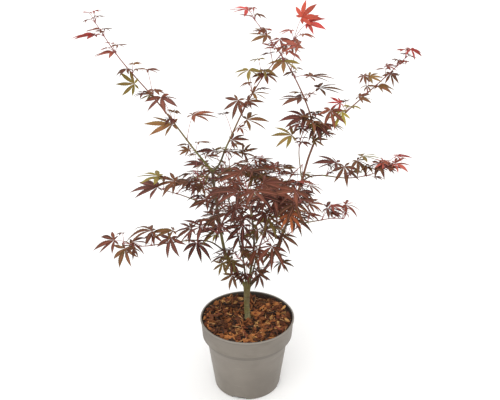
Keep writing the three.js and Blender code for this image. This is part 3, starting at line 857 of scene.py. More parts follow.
# %% Limbs
LIMBS = {
    "left_stem": {"root": 3.6, "tip": 2.4, "age": (0, 0.45),
        "along": [(-2.5, 8, 219), (-40, 4, 290), (-55, 0, 388), (-64, 0, 471)]},
    "right_stem": {"root": 3.2, "tip": 2.3, "age": (0.25, 0.85),
        "along": [(2.5, 8, 219), (43, 4, 276), (75, -4, 365), (101, -10, 457)]},
    "front_stem": {"root": 2.6, "tip": 1.8, "age": (0.1, 0.7),
        "along": [(1, 4, 219), (10, -28, 300), (13, -64, 360), (9, -116, 432)]},
    "back_left_stem": {"root": 2, "tip": 1.5, "age": (0.2, 0.7),
        "along": [(-2, 12, 219), (-8, 42, 262), (-24, 84, 318), (-38, 112, 362)]},
    "back_right_stem": {"root": 1.9, "tip": 1.4, "age": (0.2, 0.7),
        "along": [(3.5, 12, 219), (18, 44, 262), (38, 88, 314), (54, 122, 352)]},
    "left_fork": {"root": 2.1, "tip": 1.8, "age": (0.15, 0.0),
        "along": [(-64, 0, 471), (-91, 2, 505)]},
    "middle_fork": {"root": 2, "tip": 1.8, "age": (0.25, 0.35),
        "along": [(-64, 0, 468), (-50, 4, 484), (-40, 8, 509)]},
    "right_fork": {"root": 2.1, "tip": 1.9, "age": (0.85, 0.95),
        "along": [(101, -10, 457), (110, -12, 498), (119, -14, 528)]},
    "lower_left_limb": {"root": 1.7, "tip": 1.3, "age": (0.35, 0.7),
        "along": [(-43, 3, 302), (-70, -14, 332), (-106, -34, 346)]},
    "middle_left_limb": {"root": 1.4, "tip": 1.2, "age": (0.45, 0.7),
        "along": [(-55, 0, 390), (-92, -14, 417)]},
    "lower_right_limb": {"root": 1.5, "tip": 1.2, "age": (0.5, 0.7),
        "along": [(74, -4, 362), (92, -22, 377), (108, -38, 384)]},
    "right_limb": {"root": 1.6, "tip": 1.3, "age": (0.6, 0.75),
        "along": [(100, -10, 454), (116, -15, 466), (136, -22, 471)]},
}
LIMB_MESH = {"sides": 16, "step": 2.2}
LIMB_CRACKS = 0.03
COLLAR_SWELL = {"more": 0.45, "reach": 5.0}
RING = {"every": 26, "shift": 9, "height": 0.16, "width": 1.1}
LIMB_INSET = 0.1


def length_of(line, steps=40):
    stops = [line.at(i / steps) for i in range(steps + 1)]
    return sum((b - a).length for a, b in zip(stops, stops[1:]))


def limb_radius(root, tip, length):
    """The taper of a limb, with a collar at its root and a faint ring every few centimetres."""

    def radius(t):
        run = t * length
        collar = 1 + COLLAR_SWELL["more"] * math.exp(-run / COLLAR_SWELL["reach"])
        near = (run + RING["shift"]) % RING["every"] - RING["every"] / 2
        ring = RING["height"] * math.exp(-((near / RING["width"]) ** 2))
        return lerp(root, tip, t) * collar + ring

    return radius


print("limbs:", len(LIMBS))

# %% [markdown]
# ## Bark of the limbs
# Young maple wood is smooth: olive where it is oldest, brown further out, and reddish where
# last year's growth begins. The age of a limb's points gives the colour, shifted a little by
# a slow noise, with a dark grain and pale pores over it. Each limb is a tube with long
# shallow cracks, like the trunk's.


# %% Bark of the limbs
def bark_of_limbs():
    """Smooth bark whose colour runs from olive to dark red with the age attribute."""
    finish = Finish("stem_bark", Roughness=0.6, Specular_IOR_Level=0.35)
    place = finish.place()
    grain = finish.noise(place, 420.0, 4.0)
    slow = finish.noise(place, 38.0)
    spot = 1 - finish.cells(place, 330.0).between(0.14, 0.3)
    age, _ = finish.attribute("age")
    aged = age + (slow - 0.5) * 0.35
    colour = finish.mix(aged.between(0.05, 0.4), srgb(104, 98, 50), srgb(74, 58, 40))
    colour = finish.mix(aged.between(0.5, 0.95), colour, srgb(118, 74, 54))
    colour = finish.mix(grain.between(0.5, 0.8) * 0.45, colour, srgb(42, 32, 27))
    colour = finish.mix(spot * 0.35, colour, srgb(128, 110, 84))
    finish.relief(grain + spot * 0.5, 0.0003)
    return finish.wear(Base_Color=colour, Roughness=0.52 + grain * 0.22)


STEM_BARK = bark_of_limbs()
for count, (name, limb) in enumerate(LIMBS.items()):
    line = Line(limb["along"])
    length = length_of(line)
    taper = limb_radius(limb["root"] - LIMB_INSET, limb["tip"], length)
    steps = math.ceil(length / LIMB_MESH["step"])
    cracks = bark_lumps(count, LIMB_CRACKS)
    points, faces, along = tube(line, taper, LIMB_MESH["sides"], steps, cracks)
    ages = [lerp(*limb["age"], t) for t in along]
    stem = mesh_object(name + "_bark", points, faces, attributes={"age": ages})
    finish_piece(stem, STEM_BARK, name)
    print(name, "length in mm:", round(length))

# %% [markdown]
# ## One leaf
# A Japanese maple's leaf is a hand: seven narrow fingers, called lobes, meet at the stalk.
# Each lobe is widest near its middle, ends in a drawn-out point, and has fine teeth that all
# lean forward. The whole leaf can be drawn flat once, as a pattern: for each point its lobe,
# its way out along the lobe's rib and aside from it, and whether it lies on the rib. Every
# leaf of the plant is then this pattern, bent and sized in its own way.

# %% Leaf pattern
LOBES = [(0, 1.0), (37, 0.93), (-37, 0.93), (76, 0.7), (-76, 0.7), (121, 0.36), (-121, 0.36)]
LOBE = {"half_width": 0.116, "teeth": 8, "bite": 0.15, "rise": 1.3, "fall": 1.45}
LOBE_WEB = 18.5
WEB_STOP, FIRST_TOOTH = 0.12, 0.24
TOOTH_SPACING = 0.9
NOTCH_AFTER = 0.09


def lobe_width(at):
    """Half the lobe's width at a share of its length, held to the web near the stalk."""
    peak = LOBE["rise"] / (LOBE["rise"] + LOBE["fall"])
    top = peak ** LOBE["rise"] * (1 - peak) ** LOBE["fall"]
    lens_shape = at ** LOBE["rise"] * (1 - at) ** LOBE["fall"] / top
    return min(LOBE["half_width"] * lens_shape, at * math.tan(math.radians(LOBE_WEB)))


def leaf_pattern():
    """Points as (lobe, way out along the rib, way aside, 1 on the rib or 0), and faces."""
    points, faces = [(0, 0.0, 0.0, 1.0)], []
    shares = [(tooth / LOBE["teeth"]) ** TOOTH_SPACING for tooth in range(LOBE["teeth"] + 1)]
    stops = [0.0, WEB_STOP] + [lerp(FIRST_TOOTH, 1, share) for share in shares]
    for lobe in range(len(LOBES)):
        ribs = [0]
        for at in stops[1:]:
            ribs.append(len(points))
            points.append((lobe, at, 0.0, 1.0))
        for side in (-1, 1):
            rim = [0]
            for at in stops[1:-1]:
                rim.append(len(points))
                points.append((lobe, at, side * lobe_width(at), 0.0))
                if at >= FIRST_TOOTH:
                    after = at + (1 - at) * NOTCH_AFTER
                    aside = side * lobe_width(after) * (1 - LOBE["bite"])
                    rim.append(len(points))
                    points.append((lobe, after, aside, 0.0))
            rim.append(ribs[-1])
            faces += strip(points, ribs, rim, side)
    return points, faces


def strip(points, ribs, rim, side):
    """Triangles between a lobe's rib and one of its margins, in step with each other."""
    faces, i, j = [], 0, 0
    while i < len(ribs) - 1 or j < len(rim) - 1:
        rib_next = points[ribs[i + 1]][1] if i < len(ribs) - 1 else math.inf
        rim_next = points[rim[j + 1]][1] if j < len(rim) - 1 else math.inf
        if rib_next < rim_next - 1e-9:
            face, i = (ribs[i], rim[j], ribs[i + 1]), i + 1
        else:
            face, j = (ribs[i], rim[j], rim[j + 1]), j + 1
        if len(set(face)) == 3:
            faces.append(face if side < 0 else face[::-1])
    return faces


LEAF_POINTS, LEAF_FACES = leaf_pattern()
print("leaf pattern:", len(LEAF_POINTS), "points,", len(LEAF_FACES), "faces")

# %% [markdown]
# ## Bending a leaf
# A living leaf is never flat. It folds a little along each rib, its lobes hang lower the
# further they reach, and each lobe has a turn, a length, a droop, a sweep and a twist of its
# own. The blade has three directions: ahead along the middle lobe, across, and its normal,
# which points up out of it.

# %% Bent leaf
FOLD = {"slope": 0.42, "least": 0.6, "more": 0.8}
LOBE_DIFFERS = {"turn": 12, "droop": 1.1, "length": 0.1, "sweep": 0.2, "twist": 1.3}
TIP_CURL = 0.6


def bent_leaf(leaf, seed, count):
    """The points of one leaf, and the same points flat for its place on the map."""
    across = leaf["normal"].cross(leaf["forward"]).normalized()
    ahead = across.cross(leaf["normal"])
    length = leaf["length"]

    def draw(k, spread):
        return spread * (chance(seed + k, count) - 0.5)

    lobes = []
    for i, (turn, reach) in enumerate(LOBES):
        lobes.append({
            "turn": math.radians(turn + draw(20 + i, LOBE_DIFFERS["turn"])),
            "reach": reach * (1 - LOBE_DIFFERS["length"] * chance(seed + 30 + i, count)),
            "droop": leaf["droop"] * (1 + draw(40 + i, LOBE_DIFFERS["droop"])),
            "sweep": draw(50 + i, LOBE_DIFFERS["sweep"]),
            "twist": draw(80 + i, LOBE_DIFFERS["twist"]),
        })
    fold = FOLD["slope"] * (FOLD["least"] + FOLD["more"] * chance(seed + 60, count))
    bent, flat = [], []
    for lobe, out, aside, _ in LEAF_POINTS:
        own = lobes[lobe]
        far = out * own["reach"]
        wide = aside * leaf["broad"] * own["reach"] ** 0.5
        side = wide + own["sweep"] * out * out * 0.5 * own["reach"]
        x = far * math.cos(own["turn"]) - side * math.sin(own["turn"])
        y = far * math.sin(own["turn"]) + side * math.cos(own["turn"])
        z = fold * abs(wide) + own["twist"] * wide
        z -= own["droop"] * (far * far + TIP_CURL * out**4 * own["reach"])
        bent.append(leaf["centre"] + (ahead * x + across * y + leaf["normal"] * z) * length)
        flat.append((x, y))
    return bent, flat


print("fold across a rib, as a slope:", FOLD["slope"])

# %% [markdown]
# ## How shoots grow
# Maple leaves stand in opposite pairs, and each pair is turned a quarter round the stem from
# the last. A leaf's stalk leans along the stem and lifts to the light, and the blade lies
# near the level with its middle lobe pointing away from the stem. The pairs stand closer
# towards the tip, where stalks and most leaves are shorter. The table has each shoot's
# stations and these few habits, and the rule and its chances are those of the frame's solids.

# %% Shoots
SHOOTS = {
    "left_whip": {"kind": "whip", "root": 1.7, "pairs": 7, "first": 0.01,
        "leaf": (42, 26), "stalk": (34, 16), "spin": 40, "lean": 0.12,
        "along": [(-91, 2, 505), (-155, 8, 594), (-218, 14, 671), (-260, 22, 736)]},
    "middle_whip": {"kind": "whip", "root": 1.7, "pairs": 7, "first": 0.12,
        "leaf": (38, 44), "stalk": (30, 28), "spin": 10, "lean": 0.12,
        "along": [(-40, 8, 509), (-3, 28, 584), (34, 48, 641), (86, 62, 700)]},
    "crossing_whip": {"kind": "whip", "root": 1.8, "pairs": 7, "first": 0.06,
        "leaf": (42, 28), "stalk": (34, 16), "spin": 20, "lean": 0.12,
        "along": [(119, -14, 528), (109, -13, 587), (70, -10, 667), (11, 2, 744)]},
    "right_whip": {"kind": "whip", "root": 1.6, "pairs": 6, "first": 0.1,
        "leaf": (40, 24), "stalk": (32, 15), "spin": 70, "lean": 0.12,
        "along": [(119, -14, 531), (178, -12, 590), (236, -2, 642), (275, 10, 677)]},
    "right_branch": {"kind": "branch", "root": 1.3, "pairs": 5, "first": 0.05,
        "leaf": (42, 32), "stalk": (34, 16), "spin": 30, "lean": 0.1,
        "along": [(136, -22, 471), (180, -38, 472), (216, -52, 484), (236, -60, 498)]},
    "slender_twig": {"kind": "branch", "root": 1.1, "pairs": 3, "first": 0.45,
        "leaf": (40, 36), "stalk": (28, 14), "spin": 40, "lean": 0.3,
        "along": [(100, -10, 459), (93, -18, 512), (96, -24, 545), (106, -28, 566)]},
    "lower_left_branch": {"kind": "hanging", "root": 1.3, "pairs": 6, "first": 0.04,
        "leaf": (46, 38), "stalk": (32, 18), "spin": 30, "lean": 0.2,
        "along": [(-106, -34, 346), (-158, -54, 348), (-192, -66, 350), (-222, -76, 362)]},
    "middle_left_branch": {"kind": "sparse", "root": 1.2, "pairs": 4, "first": 0.06,
        "leaf": (44, 38), "stalk": (30, 18), "spin": 80, "lean": 0.25,
        "along": [(-92, -14, 417), (-120, -26, 434), (-146, -36, 447), (-162, -42, 458)]},
    "lower_right_branch": {"kind": "sparse", "root": 1.2, "pairs": 4, "first": 0.05,
        "leaf": (38, 32), "stalk": (24, 12), "spin": 35, "lean": 0.25,
        "along": [(108, -38, 384), (130, -50, 394), (152, -58, 402), (172, -64, 404)]},
    "front_crown": {"kind": "crown", "root": 1.7, "pairs": 4, "first": 0.2,
        "leaf": (46, 54), "stalk": (34, 26), "spin": 40, "lean": 0.35, "twigs": True,
        "along": [(9, -116, 432), (4, -160, 474), (0, -194, 504), (2, -218, 524)]},
    "front_right_crown": {"kind": "crown", "root": 1.5, "pairs": 4, "first": 0.25,
        "leaf": (44, 50), "stalk": (32, 24), "spin": 50, "lean": 0.4, "twigs": True,
        "along": [(10, -104, 417), (38, -146, 450), (64, -180, 480), (84, -204, 500)]},
    "front_left_crown": {"kind": "crown", "root": 1.4, "pairs": 3, "first": 0.3,
        "leaf": (46, 44), "stalk": (30, 20), "spin": 25, "lean": 0.3, "twigs": True,
        "along": [(12, -72, 371), (-16, -106, 396), (-36, -130, 412), (-50, -150, 420)]},
    "front_low": {"kind": "low", "root": 1.3, "pairs": 3, "first": 0.3,
        "leaf": (42, 42), "stalk": (28, 20), "spin": 70, "lean": 0.35,
        "along": [(12, -52, 341), (24, -84, 362), (32, -112, 382), (36, -132, 394)]},
    "low_centre": {"kind": "low", "root": 1.2, "pairs": 3, "first": 0.3,
        "leaf": (38, 38), "stalk": (26, 18), "spin": 0, "lean": 0.5,
        "along": [(7, -14, 272), (-4, -36, 296), (-12, -58, 318), (-18, -78, 334)]},
    "low_left": {"kind": "low", "root": 1.1, "pairs": 2, "first": 0.5,
        "leaf": (34, 32), "stalk": (20, 14), "spin": 60, "lean": 0.6,
        "along": [(-22, 6, 258), (-30, -10, 276), (-36, -24, 290)]},
    "low_right": {"kind": "low", "root": 1.1, "pairs": 2, "first": 0.4,
        "leaf": (34, 32), "stalk": (22, 14), "spin": 26, "lean": 0.5,
        "along": [(30, 5, 258), (42, -12, 278), (50, -26, 294)]},
    "inner_left": {"kind": "inner", "root": 1.3, "pairs": 3, "first": 0.25,
        "leaf": (42, 40), "stalk": (28, 20), "spin": 45, "lean": 0.2, "twigs": True,
        "along": [(-56, 0, 396), (-34, 24, 414), (-14, 44, 428), (4, 58, 438)]},
    "upper_inner": {"kind": "crown", "root": 1.3, "pairs": 3, "first": 0.2,
        "leaf": (38, 34), "stalk": (26, 18), "spin": 10, "lean": 0.15,
        "twigs": True, "twig_rise": -0.5,
        "along": [(-62, 0, 452), (-34, 20, 470), (0, 36, 480), (30, 46, 484)]},
    "outer_left": {"kind": "crown", "root": 1.1, "pairs": 3, "first": 0.4,
        "leaf": (36, 34), "stalk": (24, 16), "spin": 75, "lean": 0.2,
        "along": [(-60, 0, 434), (-84, 14, 452), (-100, 24, 462)]},
    "inner_right": {"kind": "inner", "root": 1.3, "pairs": 3, "first": 0.25,
        "leaf": (42, 38), "stalk": (28, 20), "spin": 36, "lean": 0.2, "twigs": True,
        "along": [(86, -7, 402), (62, 10, 424), (44, 24, 440), (28, 34, 450)]},
    "outer_right": {"kind": "crown", "root": 1.2, "pairs": 3, "first": 0.35,
        "leaf": (42, 38), "stalk": (28, 18), "spin": 55, "lean": 0.3,
        "along": [(60, 1, 320), (86, 16, 338), (108, 28, 350)]},
    "back_left_crown": {"kind": "inner", "root": 1.4, "pairs": 4, "first": 0.15,
        "leaf": (46, 40), "stalk": (32, 20), "spin": 65, "lean": 0.3,
        "twigs": True, "rise": -0.5, "twig_rise": -0.9,
        "along": [(-38, 112, 362), (-60, 142, 392), (-82, 168, 410), (-102, 186, 420)]},
    "back_crown": {"kind": "inner", "root": 1.3, "pairs": 3, "first": 0.3,
        "leaf": (44, 40), "stalk": (30, 20), "spin": 5, "lean": 0.3, "twigs": True,
        "along": [(-22, 80, 312), (-2, 112, 350), (8, 148, 382), (12, 178, 404)]},
    "back_right_crown": {"kind": "inner", "root": 1.3, "pairs": 4, "first": 0.15,
        "leaf": (46, 40), "stalk": (32, 20), "spin": 35, "lean": 0.3,
        "twigs": True, "rise": -0.5, "twig_rise": -0.9,
        "along": [(54, 122, 352), (78, 150, 380), (100, 174, 400), (118, 192, 412)]},
}

print("shoots:", len(SHOOTS), "pairs on their stems:", sum(row["pairs"] for row in SHOOTS.values()))

# %% [markdown]
# ## Inner shoots and kinds of shoot
# The crown has more wood inside it than the frame's stems. Ten inner shoots fill it, and
# each is part of the mass of foliage that it grows in. They share one habit, save the one in
# the trunk's fork. A kind of shoot says how large and how broad its leaves are, how far they
# droop, how level they lie, whether small leaves grow in its axils too, and how light it is.
# The inner kind's leaves are painted darker, as painted shade deep in the crown.

# %% Inner shoots and kinds
INNER_SHOOTS = {
    "front_inner_left": {"part_of": "front_crown",
        "along": [(13, -64, 360), (-8, -72, 396), (-30, -74, 424)]},
    "front_inner_right": {"part_of": "front_right_crown",
        "along": [(12, -50, 340), (32, -62, 384), (50, -70, 416)]},
    "back_left_inner": {"part_of": "back_left_crown",
        "along": [(-24, 84, 318), (-42, 66, 356), (-56, 54, 386)]},
    "back_left_outer": {"part_of": "back_left_crown",
        "along": [(-26, 90, 326), (-54, 112, 352), (-80, 124, 372)]},
    "back_left_high": {"part_of": "back_left_crown",
        "along": [(-38, 112, 362), (-28, 120, 400), (-30, 132, 414)]},
    "back_right_inner": {"part_of": "back_right_crown",
        "along": [(38, 88, 314), (56, 70, 352), (64, 52, 384)]},
    "back_right_outer": {"part_of": "back_right_crown",
        "along": [(40, 92, 320), (68, 112, 346), (92, 124, 368)]},
    "back_right_high": {"part_of": "back_right_crown",
        "along": [(54, 122, 352), (46, 128, 392), (40, 136, 408)]},
    "back_middle": {"part_of": "back_crown",
        "along": [(-8, 42, 262), (4, 66, 320), (8, 80, 372)]},
    "fork_front": {"part_of": "low_centre", "kind": "low", "pairs": 2,
        "leaf": (30, 28), "stalk": (16, 12),
        "along": [(2, 2, 234), (3, -12, 254), (0, -24, 268)]},
}
INNER_HABIT = {"kind": "inner", "root": 1.1, "pairs": 3, "first": 0.45,
    "leaf": (38, 34), "stalk": (26, 18), "spin": 20, "lean": 0.3}
KINDS = {
    "whip": {"size": 1.18, "broad": 0.84, "droop": 0.1, "level": 0.6, "small": True, "light": 1.38},
    "branch": {"size": 1.1, "broad": 0.86, "droop": 0.14, "level": 0.8, "small": True, "light": 1.3},
    "sparse": {"size": 0.98, "broad": 0.86, "droop": 0.16, "level": 0.8, "small": False, "light": 1.2},
    "hanging": {"size": 0.98, "broad": 0.86, "droop": 0.3, "level": 1.2, "small": False, "light": 1.2},
    "crown": {"size": 0.96, "broad": 0.68, "droop": 0.16, "level": 0.3, "small": False, "light": 0.98},
    # Painted shade: the inner kind's light of 0.7 darkens the leaves deep in the crown.
    "inner": {"size": 0.96, "broad": 0.68, "droop": 0.16, "level": 0.3, "small": False, "light": 0.7},
    "low": {"size": 0.98, "broad": 0.8, "droop": 0.2, "level": 0.6, "small": False, "light": 0.82},
}

print("inner shoots:", len(INNER_SHOOTS), "kinds of shoot:", len(KINDS))

# %% [markdown]
# ## Leaves along a stem
# For each leaf the rule draws where its stalk goes, how long stalk and blade are, and how
# the blade is turned, tilted and rolled. Each leaf has a mark, which is its pair and its
# side. Long open shoots also carry a pair of small leaves with every pair, little more than
# half as large.

# %% Leaves along a stem
SMALL = {"leaf": 0.58, "stalk": 0.5, "spin": 38, "seed": 77}
LAST_PAIR = 0.985
PAIR_SPACING = 1.2
STALK = {"ahead": 0.55, "ahead_spread": 0.4, "rise": 0.8, "turn_spread": 50, "spread": 0.5}
BLADE = {"spread": 0.24, "turn_spread": 52, "tilt": 0.5, "roll": 0.5, "foot": 0.13}
DROOP_SPREAD = 1.1
UP = Vector((0, 0, 1))


def directions(line, t):
    """The directions at a place on a stem: along it, level across it, and square to both."""
    heading = line.heading(t)
    level = UP.cross(heading).normalized()
    return heading, level, heading.cross(level)


def leaves_along(line, growth, seed):
    """Opposite pairs of leaves, each pair a quarter turn on from the last."""
    leaves, kind = [], KINDS[growth["kind"]]
    for pair in range(growth["pairs"]):
        share = pair / (growth["pairs"] - 1)
        t = lerp(growth["first"], LAST_PAIR, 1 - (1 - share) ** PAIR_SPACING)
        heading, level, other = directions(line, t)
        for side in (0, 1):

            def draw(k, spread, count=pair * 2 + side):
                return spread * (chance(seed + k, count) - 0.5)

            turn = growth["spin"] + 90 * pair + 180 * side + draw(1, STALK["turn_spread"])
            turn = math.radians(turn)
            way = level * math.cos(turn) + other * math.sin(turn)
            way += heading * (STALK["ahead"] + draw(2, STALK["ahead_spread"]))
            way = (way + UP * growth.get("rise", STALK["rise"])).normalized()
            stalk = lerp(*growth["stalk"], share) * (1 + draw(3, STALK["spread"]))
            length = lerp(*growth["leaf"], share) * (1 + draw(4, BLADE["spread"]))
            length *= kind["size"]
            forward = Vector((way.x, way.y, 0)).normalized()
            forward.rotate(Matrix.Rotation(math.radians(draw(5, BLADE["turn_spread"])), 3, "Z"))
            normal = UP + forward * (growth["lean"] * kind["level"] + draw(6, BLADE["tilt"]))
            normal += UP.cross(forward) * draw(7, BLADE["roll"])
            leaves.append({
                "root": line.at(t),
                "centre": line.at(t) + way * (stalk + BLADE["foot"] * length),
                "way": way,
                "forward": forward,
                "normal": normal.normalized(),
                "length": length,
                "broad": kind["broad"],
                "light": kind["light"],
                "droop": kind["droop"] * (1 + draw(8, DROOP_SPREAD)),
                "colour": None,
                "t": t,
                "share": share,
                "mark": (pair, side),
            })
    return leaves


def small_leaves(line, growth, seed):
    """Smaller leaves from the same axils, a part of a turn away from the old ones."""
    if not KINDS[growth["kind"]]["small"]:
        return []
    own = {**growth, "spin": growth["spin"] + SMALL["spin"]}
    for part in ("leaf", "stalk"):
        own[part] = tuple(size * SMALL[part] for size in growth[part])
    leaves = leaves_along(line, own, seed + SMALL["seed"])
    for leaf in leaves:
        leaf["mark"] += ("small",)
    return leaves


trial = leaves_along(Line(SHOOTS["left_whip"]["along"]), SHOOTS["left_whip"], 100)
print("the left whip's first leaf, length in mm:", round(trial[0]["length"], 1))

# %% [markdown]
# ## Side twigs
# Where the crown is full, a shoot also has short side twigs with leaves of their own. The
# frame's full shoots have the first of them. Here a finer one is added on the other side,
# with smaller leaves.

# %% Side twigs
TWIG = {"length": 46, "spread": 0.4, "root": 0.9, "ahead": 0.5, "rise": 0.25, "sag": 2}
TWIG_LEAVES = {"pairs": 2, "first": 0.55, "stalk": (20, 14)}
FIRST_TWIG = {"from": 0.35, "side": 1, "length": 1.0, "seed": 31, "spin": 45, "leaf": 1.0}
FINER_TWIG = {"from": 0.5, "side": -1, "length": 0.85, "seed": 43, "spin": 20, "leaf": 0.86}


def side_twig(line, growth, seed, habit):
    """A side twig as a short line of growth, with its own seed."""
    root = line.at(habit["from"])
    heading, level, _ = directions(line, habit["from"])
    rise = TWIG["rise"] if habit is FIRST_TWIG else growth.get("twig_rise", TWIG["rise"])
    way = level * habit["side"] + heading * TWIG["ahead"] + UP * rise
    way.normalize()
    length = TWIG["length"] * habit["length"] * (1 + TWIG["spread"] * (chance(seed, 0) - 0.5))
    middle = root + way * length / 2 - UP * TWIG["sag"]
    own = {**growth, **TWIG_LEAVES, "spin": growth["spin"] + habit["spin"]}
    own["leaf"] = tuple(size * habit["leaf"] for size in growth["leaf"])
    return Line([root, middle, root + way * length]), own, seed + habit["seed"]


full = [name for name, growth in SHOOTS.items() if growth.get("twigs")]
print("shoots with two side twigs:", len(full))

# %% [markdown]
# ## Colours of the leaves
# The leaves open bright red, darken to wine and brown, and turn bronze and then olive where
# they age in the shade. The plant therefore has plain base colours, dealt out leaf by leaf.
# Each shoot has a hand of colours for its old leaves and one for the young leaves near its
# tip, and an inner shoot has those of the mass that it is part of. The numbers in a hand
# are weights.

# %% Leaf colours
COLOURS = {
    # The first colour is painted shade: a dark wine for leaves that stand in deep shade.
    "dusk": (54, 32, 30),
    "wine": (76, 42, 37),
    "plum": (86, 55, 50),
    "russet": (112, 65, 48),
    "umber": (98, 67, 45),
    "bronze": (110, 84, 46),
    "olive": (116, 108, 52),
    "lime": (160, 152, 64),
    "rose": (142, 70, 60),
    "crimson": (154, 55, 52),
    "scarlet": (180, 74, 58),
    "amber": (160, 90, 44),
}
HANDS = {
    "old_whip": {"umber": 4, "bronze": 3, "olive": 1, "plum": 3, "russet": 4, "wine": 2},
    "young_whip": {"rose": 3, "russet": 4, "plum": 2, "umber": 2},
    "dark_crown": {"wine": 5, "plum": 3, "russet": 4, "umber": 3},
    "bright_crown": {"russet": 6, "wine": 2, "plum": 2, "umber": 2, "rose": 1},
    "shade": {"wine": 5, "plum": 2, "umber": 4, "olive": 1, "bronze": 2},
    "turning": {"amber": 3, "olive": 2, "russet": 3, "rose": 2, "lime": 1},
    "green_shade": {"olive": 3, "bronze": 4, "umber": 3, "wine": 2},
}
SHOOT_HANDS = {
    "left_whip": ("old_whip", "young_whip"),
    "middle_whip": ("old_whip", "young_whip"),
    "crossing_whip": ("old_whip", "young_whip"),
    "right_whip": ("old_whip", "young_whip"),
    "right_branch": ("old_whip", "young_whip"),
    "slender_twig": ("dark_crown", "old_whip"),
    "lower_left_branch": ("dark_crown", "shade"),
    "middle_left_branch": ("shade", "old_whip"),
    "lower_right_branch": ("dark_crown", "young_whip"),
    "front_crown": ("dark_crown", "bright_crown"),
    "front_right_crown": ("dark_crown", "bright_crown"),
    "front_left_crown": ("shade", "dark_crown"),
    "front_low": ("dark_crown", "dark_crown"),
    "low_centre": ("shade", "shade"),
    "low_left": ("green_shade", "shade"),
    "low_right": ("shade", "shade"),
    "inner_left": ("shade", "green_shade"),
    "upper_inner": ("old_whip", "green_shade"),
    "outer_left": ("green_shade", "old_whip"),
    "inner_right": ("turning", "shade"),
    "outer_right": ("shade", "turning"),
    "back_left_crown": ("dark_crown", "old_whip"),
    "back_crown": ("dark_crown", "shade"),
    "back_right_crown": ("dark_crown", "old_whip"),
}
YOUNG_FROM = 0.62

print("colours:", len(COLOURS), "hands:", len(HANDS))

# %% [markdown]
# ## Leaves called by name
# In the open shoots every leaf shows, so most of them are called by name, and so are some at
# the crown's edge: by the pair, the side, and the word small for a small one. A leaf called
# by name can have a colour, a size, a place of its own on the stem, a reach from the stem to
# the foot of the blade, and a pose. A pose is two directions, ahead along the middle lobe
# and up out of the blade. All other leaves keep to the rule.

# %% Poses
POSES = {
    "left": ((-1, 0, 0.05), (0, -0.4, 1)),
    "right": ((1, 0, 0), (0, -0.4, 1)),
    "rising_left": ((-1, -0.1, 0.25), (0.1, -0.5, 1)),
    "rising_right": ((1, 0, 0.2), (0, -0.4, 1)),
    "edge_on": ((0, -1, -0.15), (0, -0.2, 1)),
    "hanging": ((0.2, -1, -0.35), (0, -0.35, 1)),
    "drooping": ((0.2, -0.9, -0.5), (0.1, -0.7, 0.6)),
    "hanging_left": ((-0.4, -0.5, -0.8), (-0.2, -0.9, 0.5)),
    "hanging_right": ((0.6, -0.5, -0.9), (0.2, -0.9, 0.5)),
    "facing": ((-1, 0, -0.05), (0.1, -1, 0.1)),
    "slim_left": ((-1, 0, 0.03), (0, 0, 1)),
    "slim_right": ((1, 0, 0), (0, 0, 1)),
    "behind": ((-0.5, 0.8, -0.3), (0, 0.3, 1)),
}


def named(colour=None, size=1, reach=None, pose=None, broad=1, node=None):
    """What is said of a leaf that is called by name. The node is its place on the stem."""
    return {"colour": colour, "size": size, "reach": reach, "broad": broad, "node": node,
        "pose": POSES.get(pose, pose)}


def single_out(leaf, line, single):
    """Moves, turns or sizes a leaf that is called by name."""
    if single["node"]:
        leaf["t"] = single["node"]
        leaf["root"] = line.at(leaf["t"])
    if single["reach"]:
        leaf["way"] = Vector(single["reach"]).normalized()
        leaf["centre"] = leaf["root"] + Vector(single["reach"])
    if single["pose"]:
        leaf["forward"], leaf["normal"] = [Vector(way).normalized() for way in single["pose"]]
    leaf["length"] *= single["size"]
    leaf["broad"] *= single["broad"]
    leaf["colour"] = single["colour"]


print("poses:", len(POSES))

# %% [markdown]
# ## Leaves of the long shoots
# Four long shoots stand out above the crown, and their leaves are seen one by one: plum,
# bronze and green lower down, then rose, and crimson or scarlet at the tip. Many of them
# hang or lie level, which makes them slim from the front.

